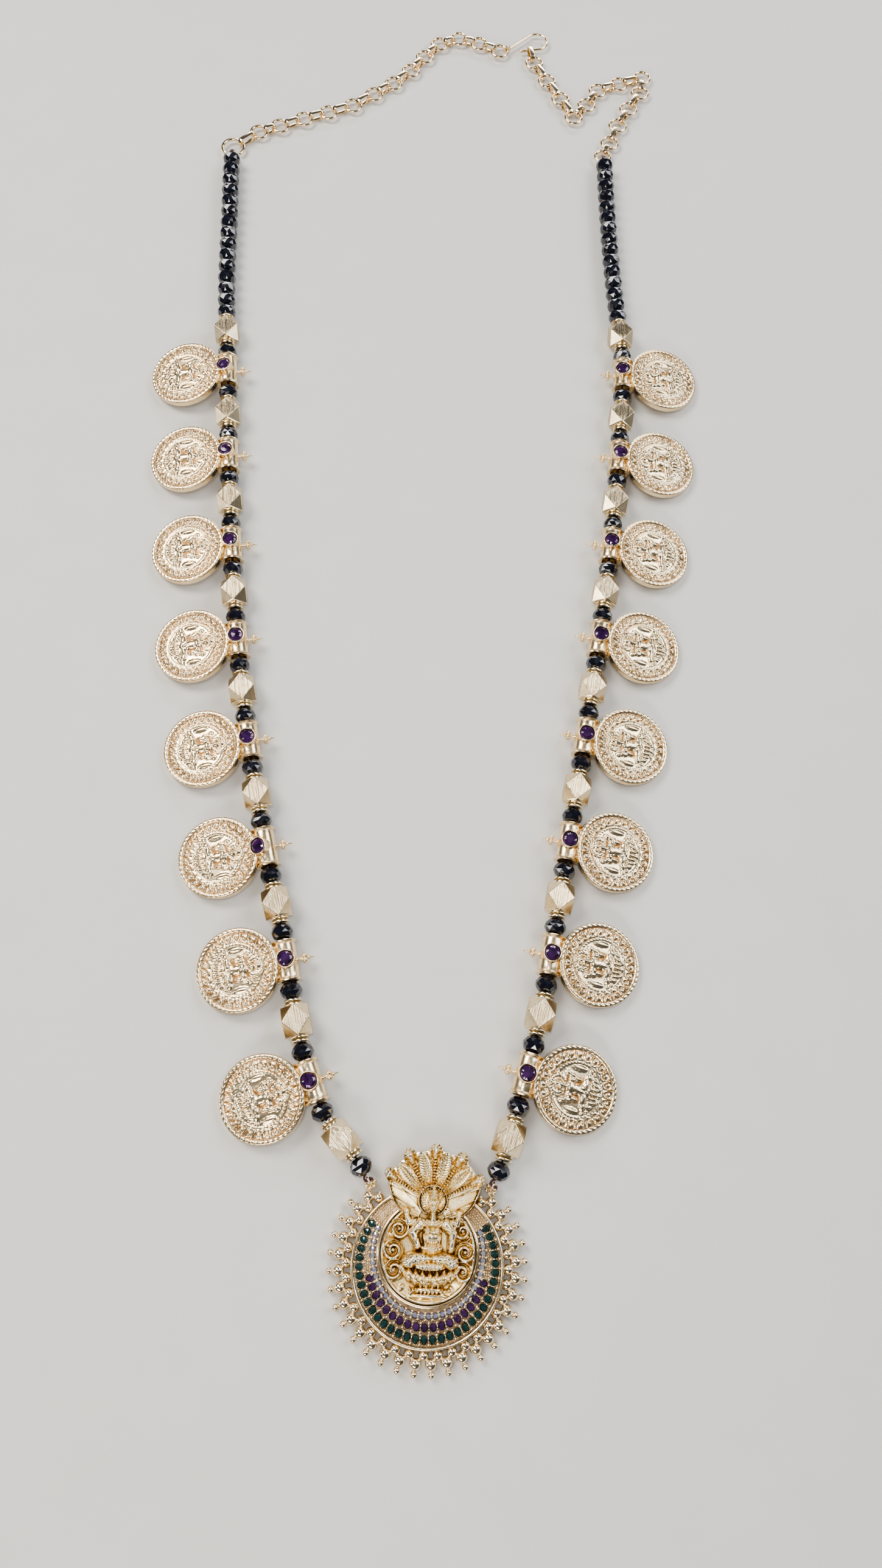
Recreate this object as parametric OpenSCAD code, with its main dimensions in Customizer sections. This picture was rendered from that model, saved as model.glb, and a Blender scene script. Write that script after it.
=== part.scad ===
// A temple jewellery necklace laid out flat. A round pendant shows a goddess
// under a serpent hood, in a crescent of stones with a fringe of beads. Two
// strings carry tubes with hanging coins, gold beads and dark cut beads, and a
// chain with a hook closes the loop. Lengths are in millimetres. The origin is
// the middle of the pendant's back, +Y runs up the pendant towards the hook,
// and +Z is up from the table.

/* [Pendant] */
// Outer radius of the rim round the crescent
rim_r = 16.6; // [16:0.1:17.2]
// Width of the rim, and of the ring round the medallion
rim_w = 0.7; // [0.5:0.05:0.9]
// Height of the rim above the table
rim_h = 3; // [2.6:0.1:3.4]
// Thickness of the back plate
plate_t = 1.4; // [1.1:0.05:1.6]
// Radius of the round medallion
medallion_r = 10.4; // [9.8:0.1:10.8]
// Distance of the medallion above the middle of the rim
medallion_up = 2.7; // [2.2:0.1:3.2]
// Reach of the serpent hood from the goddess's throat
hood_reach = 14.6; // [13.8:0.1:15.4]
// Depth of the medallion's ground, on which the relief stands
ground_t = 0.8; // [0.6:0.1:1.2]
// Height of the relief at its highest, above the ground
relief_h = 3.8; // [3:0.1:4.4]

/* [Fringe] */
// Fringe beads in a whole turn
fringe_count = 36; // [34:2:38]
// Radius of the fringe beads against the rim
inner_bead_r = 1.15; // [1.1:0.05:1.25]
// Radius of the large fringe beads
mid_bead_r = 1.3; // [1.25:0.05:1.45]
// Radius of the small beads at the tips
tip_bead_r = 0.78; // [0.6:0.02:0.9]
// Radius of one bead of the flower that carries a string
flower_bead_r = 0.52; // [0.5:0.01:0.56]

/* [Pendant stones] */
// Green stones in the outer row
green_count = 35; // [31:1:36]
// Purple stones in the middle row
ruby_count = 19; // [17:1:20]
// Width of a crescent stone
small_stone_w = 1.5; // [1.3:0.05:1.6]
// Length of a crescent stone, across the crescent
small_stone_l = 1.9; // [1.6:0.05:2]
// Height of a crescent stone
small_stone_h = 1.3; // [1:0.1:1.5]

/* [Coin drops] */
// Radius of a coin
coin_r = 10; // [9.4:0.1:10.4]
// Thickness of a coin
coin_t = 1.6; // [1.3:0.1:1.9]
// Slope of a coin, outer edge down on the table
coin_tilt = 12; // [10:0.5:13]
// Height of the rope edge and of the other coin relief
coin_relief = 0.4; // [0.3:0.05:0.6]
// Petals round a coin
petal_count = 24; // [20:1:28]
// Length of a tube
tube_l = 9.6; // [9:0.1:10]
// Outer radius of a tube
tube_r = 2.6; // [2.4:0.05:2.7]
// Wall of a tube
tube_wall = 0.65; // [0.5:0.05:0.8]
// Outer radius of the flange at each end of a tube
flange_r = 3; // [2.8:0.05:3.1]
// Outer radius of the setting on a tube
collet_r = 2.3; // [2.15:0.05:2.5]
// Height of the setting above the tube's axis
collet_h = 4.1; // [3.8:0.1:4.6]
// Radius of the stone in a setting
drop_stone_r = 1.75; // [1.6:0.05:1.8]
// Length of the stalk that carries the small balls behind a tube
stalk_l = 1.7; // [1.4:0.1:2]

/* [Strings] */
// Radius of a dark cut bead
rondelle_r = 2.6; // [2.3:0.05:2.8]
// Thickness of a dark cut bead
rondelle_t = 3.95; // [3.7:0.05:4.1]
// Width of a gold bead
gold_w = 6.4; // [6.1:0.05:6.8]
// Length of a gold bead's faceted block
gold_l = 7.1; // [6.6:0.1:7.4]
// Length of the collar at each end of a gold bead
collar_l = 1.4; // [1.2:0.05:1.6]
// Radius of a gold bead's collar
collar_r = 2.15; // [1.9:0.05:2.3]
// Radius of the bore in each bead
bore_r = 0.6; // [0.5:0.05:0.8]
// Radius of the thread
thread_r = 0.3; // [0.22:0.02:0.34]
// Gap between two beads of a string
bead_gap = 0.2; // [0.15:0.01:0.3]
// Dark beads in each upper strand
strand_count = 15; // [13:1:15]

/* [Chain] */
// Radius of a chain ring, at the middle of its wire
ring_r = 2.52; // [2.4:0.02:2.6]
// Radius of the ring wire
ring_wire = 0.48; // [0.4:0.01:0.5]
// Radius of the large jump ring on the left strand, at the middle of its wire
jump_r = 3.3; // [3:0.1:3.5]
// Radius of the small jump ring on the right strand, at the middle of its wire
small_jump_r = 2.3; // [2.1:0.05:2.4]
// Height of the short links that join the rings
band_h = 2.8; // [2.7:0.05:3]
// Width of the short links
band_w = 1.2; // [0.9:0.05:1.3]
// Thickness of the short links
band_t = 0.45; // [0.35:0.05:0.5]
// Radius of the hook's wire
hook_wire = 0.4; // [0.35:0.01:0.44]
// Length of the hook from its eye to the middle of its bend
hook_l = 10.6; // [9.8:0.1:11.2]
// Radius of the hook's bend, at the middle of its wire
hook_bend_r = 3.4; // [3:0.1:3.8]

/* [Hidden] */
$fn = 48;

// Routes, as points on the table chosen by hand: the two strings from the
// pendant up, and the middle of each chain ring from the strand to the hook.
left_route = [[-16.6, 21.2], [-20.8, 25.6], [-25, 30.6], [-28.2, 37.4], [-32.4, 49.6],
    [-37.4, 70], [-43.4, 91], [-50.3, 118.4], [-56, 146], [-60.4, 173.8], [-64.2, 201.8],
    [-67.4, 229.6], [-69.6, 247], [-71.5, 265], [-72.9, 285], [-74.1, 300], [-75.2, 316]];
right_route = [[15.2, 21], [17, 26.9], [20.3, 40.2], [23.6, 54.4], [25.8, 68.4], [29.7, 96],
    [33.8, 124], [37.5, 151.8], [40.7, 179.6], [43, 207], [44.5, 234], [44.3, 248],
    [42.7, 264], [41.3, 282], [40.4, 300], [39.6, 319]];
left_rings = [[-67.9, 323.2], [-61.6, 326.3], [-54.4, 329.9], [-47.1, 333.2], [-39.6, 336.8],
    [-33.3, 342.2], [-27.4, 347.4], [-22.2, 353.4], [-18, 359.9], [-13.6, 366], [-7.4, 369],
    [-0.7, 367.4], [6, 364.6]];
right_rings = [[41.7, 327.9], [44.3, 335.5], [47.8, 342.9], [51.6, 350.1], [52.3, 356.8],
    [44.8, 353.4], [38, 350], [34.4, 343.4], [30.3, 337.8], [26, 345.3], [21.6, 352.8],
    [17.4, 360.3]];
hook_turn = 24;
hook_catch = 7.2;

// Clearances and small details
seat_gap = 0.05;
piece_gap = 0.1;
link_gap = 0.12;
drop_count = 8;
string_z = gold_w / 2;
chain_z = band_h / 2;
medallion_at = [0, medallion_up];
eye_ring_r = 0.78;
eye_wire = 0.22;
eye_out = 0.7;
first_gap = 1.45;
bend_gap = 0.2;
knot_r = 0.95;
loop_r = 0.85;
loop_wire = 0.22;
stone_sides = 8;
bead_sides = 10;

// Fringe: the two flowers take the place of the tips at the ends of the row
fringe_step = 360 / fringe_count;
fringe_half = floor(135 / fringe_step + 0.01);
fringe_angles = [for (k = [-fringe_half - 0.5 : fringe_half + 0.5]) -90 + k * fringe_step];
tip_angles = [for (a = fringe_angles) if (abs(a + 90) < fringe_half * fringe_step) a];
gap_angles = [for (k = [-fringe_half - 1 : fringe_half + 1]) -90 + k * fringe_step];
fringe_overlap = 0.11;
inner_ring_r = rim_r + inner_bead_r - 0.15;
// Each large bead is soldered to the two beads against the rim that it lies between
mid_ring_r = let (touch = inner_bead_r + mid_bead_r - fringe_overlap, aside = inner_ring_r * sin(fringe_step / 2))
    inner_ring_r * cos(fringe_step / 2) + sqrt(max(touch * touch - aside * aside, 0));
tip_ring_r = mid_ring_r + mid_bead_r + tip_bead_r - 0.05;
flower_ring_r = mid_ring_r + mid_bead_r + 0.5;
flower_angle = 50.6;
flower_z = 2;

// Smooth curve through chosen points, eight steps from each point to the next
function curve_at(a, b, c, d, t) =
    (2 * b + (c - a) * t + (2 * a - 5 * b + 4 * c - d) * t * t
     + (3 * b - a - 3 * c + d) * t * t * t) / 2;
function curve(p) = let (n = len(p) - 1) concat(
    [for (i = [0 : n - 1]) for (k = [0 : 7])
        curve_at(p[max(i - 1, 0)], p[i], p[i + 1], p[min(i + 2, n)], k / 8)],
    [p[n]]);
function run_lengths(p) =
    [for (i = 0, s = 0; i < len(p); s = s + (i + 1 < len(p) ? norm(p[i + 1] - p[i]) : 0), i = i + 1) s];
function along(p, runs, s) = [for (c = [0, 1]) lookup(s, [for (i = [0 : len(p) - 1]) [runs[i], p[i][c]]])];
function turned(v, a) = [v.x * cos(a) - v.y * sin(a), v.x * sin(a) + v.y * cos(a)];
function unit(v) = v / norm(v);
function polar(r, a) = [r * cos(a), r * sin(a)];

// Strings: each piece lies on the chord between two places on the route
function is_left(side) = side == "left";
function flower_at(side) = polar(flower_ring_r, is_left(side) ? 180 - flower_angle : flower_angle);
function route(side) = is_left(side) ? left_route : right_route;
function string_dir(side) = unit(route(side)[0] - flower_at(side));
function eye_at(side) = flower_at(side) + eye_out * string_dir(side);
left_curve = curve(concat([eye_at("left")], left_route));
right_curve = curve(concat([eye_at("right")], right_route));
left_runs = run_lengths(left_curve);
right_runs = run_lengths(right_curve);
function place(side, s) =
    is_left(side) ? along(left_curve, left_runs, s) : along(right_curve, right_runs, s);
pieces = concat(["rondelle", "gold"],
    [for (k = [1 : drop_count]) each ["rondelle", "drop", "rondelle", "gold"]],
    [for (k = [1 : strand_count]) "strand"]);
gold_all = gold_l + 2 * collar_l;
function piece_length(kind) = kind == "gold" ? gold_all : kind == "drop" ? tube_l : rondelle_t;
// The first beads stand a little further apart, where the strings leave the pendant and bend
function gap_after(i) = i < 3 ? bead_gap + bend_gap : bead_gap;
starts = [for (i = 0, s = first_gap; i < len(pieces);
    s = s + piece_length(pieces[i]) + gap_after(i), i = i + 1) s];
function indices(kind) = [for (i = [0 : len(pieces) - 1]) if (pieces[i] == kind) i];
drop_index = indices("drop");
gold_index = indices("gold");
string_end = starts[len(pieces) - 1] + rondelle_t;
function piece_ends(side, i) =
    [place(side, starts[i]), place(side, starts[i] + piece_length(pieces[i]))];
function end_dir(side) = unit(place(side, string_end) - place(side, string_end - rondelle_t));
function knot_at(side) = place(side, string_end) + (knot_r + 0.3) * end_dir(side);
function loop_at(side) = knot_at(side) + 0.5 * end_dir(side);
function jump_radius(side) = is_left(side) ? jump_r : small_jump_r;
function jump_at(side) = loop_at(side) + jump_radius(side) * end_dir(side);

// Stands its children on piece i of a string, +X along the string and +Y out
module on_string(side, i) {
    ends = piece_ends(side, i);
    middle = (ends[0] + ends[1]) / 2;
    way = ends[1] - ends[0];
    translate([middle.x, middle.y, string_z])
        rotate([0, 0, atan2(way.y, way.x)])
            mirror([0, is_left(side) ? 0 : 1, 0])
                children();
}

// Facets round the X axis: each row of rings is [place, radius, turn in steps]
module faceted_turning(rings, sides) {
    n = sides;
    m = len(rings) - 1;
    points = [for (r = rings) for (k = [0 : n - 1])
        let (a = (k + r[2]) * 360 / n) [r[0], r[1] * cos(a), r[1] * sin(a)]];
    bands = [for (j = [0 : m - 1]) for (k = [0 : n - 1])
        let (a = j * n + k, b = j * n + (k + 1) % n, up = rings[j + 1][2] > rings[j][2])
        each up ? [[a, a + n, b], [b, a + n, b + n]] : [[a, b + n, b], [a, a + n, b + n]]];
    polyhedron(points, concat([[for (k = [0 : n - 1]) k]], bands,
        [[for (k = [n - 1 : -1 : 0]) m * n + k]]), convexity = 2);
}

module rondelle() {
    waist = 0.17 * rondelle_t;
    end_r = 0.55 * rondelle_r;
    difference() {
        faceted_turning([[-rondelle_t / 2, end_r, 0.5], [-waist, rondelle_r, 0],
            [waist, rondelle_r, 0.5], [rondelle_t / 2, end_r, 0]], bead_sides);
        rotate([0, 90, 0]) cylinder(r = bore_r, h = rondelle_t + 1, center = true);
    }
}

// A stone with a table, a crown, a girdle and a pavilion, its table up
module cut_stone(rx, ry, h) {
    rows = [[0, 0.5], [0.4, 1], [0.55, 1], [1, 0.6]];
    n = stone_sides;
    points = [for (r = rows) for (k = [0 : n - 1])
        let (a = (k + 0.5) * 360 / n) [rx * r[1] * cos(a), ry * r[1] * sin(a), h * r[0]]];
    bands = [for (j = [0 : len(rows) - 2]) for (k = [0 : n - 1])
        let (a = j * n + k, b = j * n + (k + 1) % n) each [[a, b + n, b], [a, a + n, b + n]]];
    polyhedron(points, concat([[for (k = [0 : n - 1]) k]], bands,
        [[for (k = [n - 1 : -1 : 0]) (len(rows) - 1) * n + k]]), convexity = 2);
}

// Relief of the medallion: domes are [x, y, half width, half height, share of relief]
throat = [0.5, 9];
fan_middle = 88.3;
head_step = 23.6;
hood_half = 78;
figure = [
    [0.5, -5.3, 4.5, 0.9, 0.38], [0.5, 0.8, 5.8, 1.8, 0.78], [-4.1, 0.9, 1.8, 1.5, 0.84],
    [5.1, 0.9, 1.8, 1.5, 0.84], [0.75, 5, 2.2, 3.4, 0.72], [0.6, 8.7, 4.4, 1.4, 0.72],
    [-3.4, 6.2, 1, 2.5, 0.76], [5.7, 5.6, 1, 2.9, 0.76], [-4.4, 10.2, 0.9, 1.9, 0.68],
    [5.9, 10.2, 0.9, 1.9, 0.68], [0.75, 12, 1.5, 1.9, 1], [0.75, 14.6, 1.5, 2.2, 0.94]];
scrolls = [[-6.5, 7.3], [-7.6, 3], [-7.2, -0.9], [7.3, 7.4], [8, 3.1], [7.6, -0.9]];
petal_xs = [-5, -3.6, -2.2, -0.8, 0.6, 2, 3.4, 4.8, 6.2];
function dome(p, c, rx, ry, h) =
    let (d = 1 - pow((p.x - c.x) / rx, 2) - pow((p.y - c.y) / ry, 2)) d > 0 ? h * sqrt(d) : 0;
function ridge(d, w, h) = abs(d) < w ? h * sqrt(1 - pow(d / w, 2)) : 0;
function fan_angle(p) = let (v = p - throat) atan2(v.y, v.x) - fan_middle;
function wrapped(a) = a > 180 ? a - 360 : a < -180 ? a + 360 : a;
function to_head(f) = f - head_step * max(-2, min(2, round(f / head_step)));
function disc_reach(a) = let (d = throat - medallion_at, u = polar(1, a), b = d * u)
    sqrt(b * b - d * d + medallion_r * medallion_r) - b;
function fan_reach(f) = hood_reach / 14.6 * (lookup(abs(f),
    [[0, 15], [24, 14.9], [40, 14], [48, 13.5], [54, 12.8], [58, 11.7], [62, 10.7], [66, 9.9],
        [70, 8.8], [75, 7.4], [78, 5.5], [180, 4]])
    + ridge(to_head(f), 5.6, 1.5));
function reach(a) = max(disc_reach(a), fan_reach(wrapped(a - fan_middle)));
function hood_height(p, edge) = let (r = norm(p - throat), f = wrapped(fan_angle(p)), d = to_head(f))
    abs(f) > hood_half - 4 || r < 2.6 ? 0 :
    relief_h * max(
        abs(f) < 54 ? 0.3 + 0.02 * r + ridge(abs(d) - head_step / 2, 6, 0.2) : 0.22,
        abs(f) < 54 ? 0.3 + ridge(r * sin(d), 0.75, 0.42) : 0,
        ridge(r - edge + 0.45, 0.45, abs(f) > 50 ? 0.55 : 0.3),
        ridge(norm([r * sin(d), r - edge + 1.4]), 1.5, 0.85));
function relief(p, edge) = max(
    hood_height(p, edge),
    relief_h * max([for (g = figure) dome(p, [g[0], g[1]], g[2], g[3], g[4])]),
    relief_h * max([for (s = scrolls) let (r = norm(p - s))
        max(ridge(r - 1.6, 0.42, 0.42), ridge(r, 0.55, 0.4))]),
    relief_h * max([for (x = petal_xs) dome(p, [x, -2.6 + 0.035 * pow(x - 0.5, 2)], 0.72, 1.8, 0.6)]),
    ridge(norm(p - [0.55, 13.4]) - 3, 0.4, relief_h * 0.76));
medallion_angles = concat(
    [for (f = [-hood_half : 2 : hood_half]) fan_middle + f],
    [for (a = [fan_middle + 83 : 5 : fan_middle + 277]) a]);

module medallion_body() {
    n = len(medallion_angles);
    rows = 18;
    low = plate_t + seat_gap;
    ground = low + ground_t;
    reaches = [for (a = medallion_angles) reach(a)];
    top = [for (j = [1 : rows]) for (k = [0 : n - 1])
        let (e = reaches[k], p = throat + polar(e * j / rows, medallion_angles[k]))
        [p.x, p.y, ground + (j == rows ? 0 : relief(p, e))]];
    bottom = [for (k = [0 : n - 1])
        let (p = throat + polar(reaches[k], medallion_angles[k])) [p.x, p.y, low]];
    points = concat([[throat.x, throat.y, ground + relief(throat, 1)]], top, bottom,
        [[throat.x, throat.y, low]]);
    last = len(points) - 1;
    faces = concat(
        [for (k = [0 : n - 1]) [0, 1 + (k + 1) % n, 1 + k]],
        [for (j = [0 : rows - 1]) for (k = [0 : n - 1])
            let (a = 1 + j * n + k, b = 1 + j * n + (k + 1) % n)
            each [[a, b, b + n], [a, b + n, a + n]]],
        [for (k = [0 : n - 1]) [last, 1 + rows * n + k, 1 + rows * n + (k + 1) % n]]);
    polyhedron(points, faces, convexity = 6);
}

// The plan of the hood, grown by a gap, for the break it makes in the two rims
module hood_plan(gap) {
    polygon(concat([throat],
        [for (f = [-hood_half : 2 : hood_half]) throat + polar(reach(fan_middle + f) + gap, fan_middle + f)]));
}

module arc_wall(r, w, z0, z1) {
    translate([0, 0, z0])
        difference() {
            cylinder(r = r, h = z1 - z0);
            translate([0, 0, -1]) cylinder(r = r - w, h = z1 - z0 + 2);
        }
}

// A bead of the fringe at a radius and an angle from the middle of the rim
module fringe_bead(r, a, size, z) {
    rotate([0, 0, a]) translate([r, 0, z]) sphere(r = size);
}

module flower(side) {
    at = flower_at(side);
    way = string_dir(side);
    turn = atan2(way.y, way.x);
    stem = polar(mid_ring_r, is_left(side) ? 135 : 45);
    translate([stem.x, stem.y, mid_bead_r])
        rotate([0, 90 - atan2(flower_z - mid_bead_r, norm(at - stem)), atan2(at.y - stem.y, at.x - stem.x)])
            cylinder(r = 0.45, h = norm(at - stem) + 0.1);
    translate([at.x, at.y, flower_z]) {
        rotate([0, 0, turn + 30]) sphere(r = flower_bead_r + 0.04);
        for (k = [0 : 5])
            rotate([0, 0, turn + 60 * k + (is_left(side) ? 30 : 0)]) translate([1.9 * flower_bead_r, 0, 0]) sphere(r = flower_bead_r);
    }
    eye = eye_at(side);
    translate([eye.x, eye.y, string_z])
        rotate([90, 0, turn])
            rotate_extrude() translate([eye_ring_r, 0]) circle(r = eye_wire);
}

// Middle line of each row of stones: [radius, how far its middle is up, half angle, count]
row_r = [rim_r - rim_w - small_stone_l / 2 - 0.2,
    rim_r - rim_w - 1.5 * small_stone_l - 0.3];
green_row = [row_r[0], 0.3, 122, green_count];
ruby_row = [row_r[1], 0.65, 74, ruby_count];
function row_step(row) = 2 * row[2] / (row[3] - 1);
function row_angles(row) = [for (k = [0 : row[3] - 1]) -90 - row[2] + k * row_step(row)];

module row_of_stones(row) {
    for (a = row_angles(row)) {
        p = polar(row[0], a) + [0, row[1]];
        translate([p.x, p.y, plate_t + piece_gap])
            rotate([0, 0, a]) cut_stone(small_stone_l / 2, small_stone_w / 2, small_stone_h);
    }
}

module pendant() {
    color("#d9b478") {
        cylinder(r = rim_r, h = plate_t);
        difference() {
            union() {
                arc_wall(rim_r, rim_w, plate_t - 0.2, rim_h);
                translate([medallion_at.x, medallion_at.y, 0])
                    arc_wall(medallion_r + piece_gap + rim_w, rim_w, plate_t - 0.2, rim_h + 0.4);
            }
            translate([0, 0, plate_t - 0.6])
                linear_extrude(height = rim_h + 0.4) hood_plan(2 * piece_gap);
        }
        for (a = gap_angles) fringe_bead(inner_ring_r, a, inner_bead_r, mid_bead_r);
        for (a = fringe_angles) fringe_bead(mid_ring_r, a, mid_bead_r, mid_bead_r);
        for (a = tip_angles) {
            fringe_bead(tip_ring_r, a, tip_bead_r, mid_bead_r);
            rotate([0, 0, a]) translate([mid_ring_r, 0, mid_bead_r])
                rotate([0, 90, 0]) cylinder(r = tip_bead_r / 2, h = tip_ring_r - mid_ring_r);
        }
        for (side = ["left", "right"]) flower(side);
    }
}

module medallion() {
    color("#b98a3e") medallion_body();
}

module green_stones() {
    color("#0f4a42") row_of_stones(green_row);
}

module ruby_stones() {
    color("#4f1d4a") row_of_stones(ruby_row);
}

// The seated figure on a coin, as low swellings on both sides of its middle:
// [across, outwards, radius, height] of the head, the chest, the shoulders, the
// waist, the lap, the knees, the lotus in three parts and the lamps beside her
coin_figure = [[0, -3.4, 1.1, 0.9], [0, -1.4, 1.15, 0.85], [1.6, -1.7, 0.8, 0.7],
    [0, 0.4, 0.95, 0.75], [1.1, 1.8, 1.1, 0.75], [2.7, 2.1, 0.9, 0.65],
    [0, 3.8, 1.1, 0.5], [1.7, 3.6, 0.9, 0.45], [4, -1, 1.05, 0.45]];

// Coin, face up, its middle at the origin and its inner edge towards -Y
module coin() {
    half = coin_t / 2;
    rope = coin_relief;
    rotate_extrude()
        polygon([[0, -half], [coin_r, -half], [coin_r, half], [coin_r - 0.15, half + rope],
            [coin_r - 0.75, half + rope], [coin_r - 0.9, half], [0.7 * coin_r, half],
            [0.7 * coin_r - 0.1, half + rope], [0.66 * coin_r, half + rope],
            [0.64 * coin_r, half - 0.1], [0.4 * coin_r, half + 0.1], [0, half + 0.2]]);
    for (k = [0 : petal_count - 1])
        rotate([0, 0, k * 360 / petal_count])
            translate([0.805 * coin_r, 0, half - 0.45]) sphere(r = 0.45 + rope * 0.9);
    for (g = coin_figure)
        for (x = g[0] == 0 ? [0] : [-g[0], g[0]])
            translate([x, g[1], half + g[3] - g[2]]) sphere(r = g[2]);
    translate([0, -3.4, half + 0.1])
        rotate_extrude() translate([1.9, 0]) circle(r = 0.4);
}

coin_z = coin_r * sin(coin_tilt) + coin_t / 2 * cos(coin_tilt) - string_z;
coin_bite = 0.9;
coin_y = tube_r - coin_bite + coin_r * cos(coin_tilt);
// Lean of each setting towards its coin, from the top drop down
collet_lean = [["left", [12, 8, 0, 0, 0, 26, 0, 5]], ["right", [-8, 0, -4, 0, 0, 0, 0, 0]]];
function lean(side, k) = (is_left(side) ? collet_lean[0] : collet_lean[1])[1][k - 1];

// Holds its children upright in a setting that leans by a number of degrees
module leaning(a) {
    rotate([-a, 0, 0]) children();
}

module drop(a) {
    flange_t = 0.6;
    pocket = 1.1;
    stalk_y = -tube_r - stalk_l;
    difference() {
        union() {
            rotate([0, 90, 0]) cylinder(r = tube_r, h = tube_l, center = true);
            for (x = [-tube_l / 2, tube_l / 2 - flange_t])
                translate([x, 0, 0]) rotate([0, 90, 0]) cylinder(r = flange_r, h = flange_t);
            translate([0, coin_y, coin_z]) rotate([-coin_tilt, 0, 0]) coin();
            leaning(a) cylinder(r = collet_r, h = collet_h);
        }
        rotate([0, 90, 0]) cylinder(r = tube_r - tube_wall, h = tube_l + 1, center = true);
        leaning(a) translate([0, 0, collet_h - pocket]) cylinder(r = drop_stone_r + piece_gap, h = 2);
    }
    translate([0, -tube_r + 0.2, 0]) rotate([90, 0, 0]) cylinder(r = 0.45, h = stalk_l);
    for (k = [0 : 3])
        translate([0, stalk_y, 0]) rotate([0, 45 + 90 * k, 0]) translate([0.72, 0, 0]) sphere(r = 0.66);
    translate([0, stalk_y - 0.85, 0]) sphere(r = 0.52);
    translate([0, stalk_y - 0.8, 0]) rotate([90, 0, 0]) cylinder(r1 = 0.36, r2 = 0.12, h = 1.5);
}

module drop_node(side, k) {
    color("#e3c08f") on_string(side, drop_index[drop_count - k]) drop(lean(side, k));
}

module drop_stones(side) {
    stone_h = 1.15;
    color("#4a1238")
        for (k = [1 : drop_count])
            on_string(side, drop_index[drop_count - k])
                leaning(lean(side, k))
                    translate([0, 0, collet_h - 1])
                        cut_stone(drop_stone_r, drop_stone_r, stone_h);
}

// A block with its eight corners cut to the middles of its edges, and collars
module gold_bead() {
    w = gold_w / 2;
    l = gold_l / 2;
    points = concat(
        [for (x = [-l, l]) for (p = [[w, 0], [0, w], [-w, 0], [0, -w]]) [x, p.x, p.y]],
        [for (p = [[w, w], [-w, w], [-w, -w], [w, -w]]) [0, p.x, p.y]]);
    faces = concat([[0, 1, 2, 3], [7, 6, 5, 4]],
        [for (k = [0 : 3]) let (m = (k + 1) % 4, b = (k + 3) % 4)
            each [[8 + b, 4 + k, 8 + k, k], [8 + k, m, k], [4 + m, 8 + k, 4 + k]]]);
    r = collar_r;
    difference() {
        union() {
            polyhedron(points, faces, convexity = 2);
            for (end = [0, 1])
                mirror([end, 0, 0]) translate([l - 0.1, 0, 0]) rotate([0, 90, 0])
                    rotate_extrude()
                        polygon([[0, 0], [r, 0], [r, 0.45], [r - 0.4, 0.6], [r - 0.4, 0.8],
                            [r, 0.95], [r, collar_l - 0.1], [r - 0.2, collar_l + 0.1], [0, collar_l + 0.1]]);
        }
        rotate([0, 90, 0]) cylinder(r = bore_r, h = gold_all + 1, center = true);
    }
}

module gold_bead_node(side, k) {
    color("#d8c486") on_string(side, gold_index[drop_count + 1 - k]) gold_bead();
}

module beads_of(side, kind) {
    color("#14141f")
        for (i = indices(kind))
            on_string(side, i) rotate([13 * (i % 5), 0, 0]) rondelle();
}

// A tube of thread along points on one level, closed at both ends
module thread_tube(path) {
    n = 6;
    m = len(path) - 1;
    points = [for (i = [0 : m])
        let (way = unit(path[min(i + 1, m)] - path[max(i - 1, 0)]), out = [-way.y, way.x])
        for (k = [0 : n - 1]) let (a = k * 360 / n)
        [path[i].x + thread_r * cos(a) * out.x, path[i].y + thread_r * cos(a) * out.y,
         string_z + thread_r * sin(a)]];
    faces = concat([[for (k = [0 : n - 1]) k]],
        [for (i = [0 : m - 1]) for (k = [0 : n - 1])
            let (a = i * n + k, b = i * n + (k + 1) % n) each [[a, b + n, b], [a, a + n, b + n]]],
        [[for (k = [n - 1 : -1 : 0]) m * n + k]]);
    polyhedron(points, faces, convexity = 8);
}

module thread(side) {
    way = string_dir(side);
    turn = atan2(way.y, way.x);
    eye = eye_at(side);
    knot = knot_at(side);
    loop = loop_at(side);
    end_way = end_dir(side);
    round_eye = [for (p = [[0, -0.75], [0, 0.25], [0.3, 0.66], [0.8, 0.7], [1.25, 0.38]]) eye + turned(p, turn)];
    joints = concat([piece_ends(side, 0)[0]],
        [for (i = [0 : len(pieces) - 2]) (piece_ends(side, i)[1] + piece_ends(side, i + 1)[0]) / 2],
        [piece_ends(side, len(pieces) - 1)[1]]);
    color("#5a1424") {
        thread_tube(concat(round_eye, joints, [knot]));
        translate([round_eye[0].x, round_eye[0].y, string_z]) sphere(r = 0.45);
        translate([knot.x, knot.y, string_z - 0.25]) sphere(r = knot_r);
        translate([loop.x, loop.y, chain_z])
            rotate([90, 0, atan2(end_way.y, end_way.x)])
                rotate_extrude() translate([loop_r, 0]) circle(r = loop_wire);
    }
}

module wire_ring(at, r, wire) {
    translate([at.x, at.y, chain_z]) rotate_extrude() translate([r, 0]) circle(r = wire);
}

// The left jump ring is bent open, with round wire ends
module left_jump_ring() {
    at = jump_at("left");
    from = 315;
    open = 36;
    color("#e0bd8b") {
        translate([at.x, at.y, chain_z]) {
            rotate([0, 0, from]) rotate_extrude(angle = 360 - open)
                translate([jump_r, 0]) circle(r = ring_wire);
            for (a = [from, from - open])
                rotate([0, 0, a]) translate([jump_r, 0, 0]) sphere(r = 1.08 * ring_wire);
        }
    }
}

module right_jump_ring() {
    color("#e0bd8b") wire_ring(jump_at("right"), small_jump_r, ring_wire);
}

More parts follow.
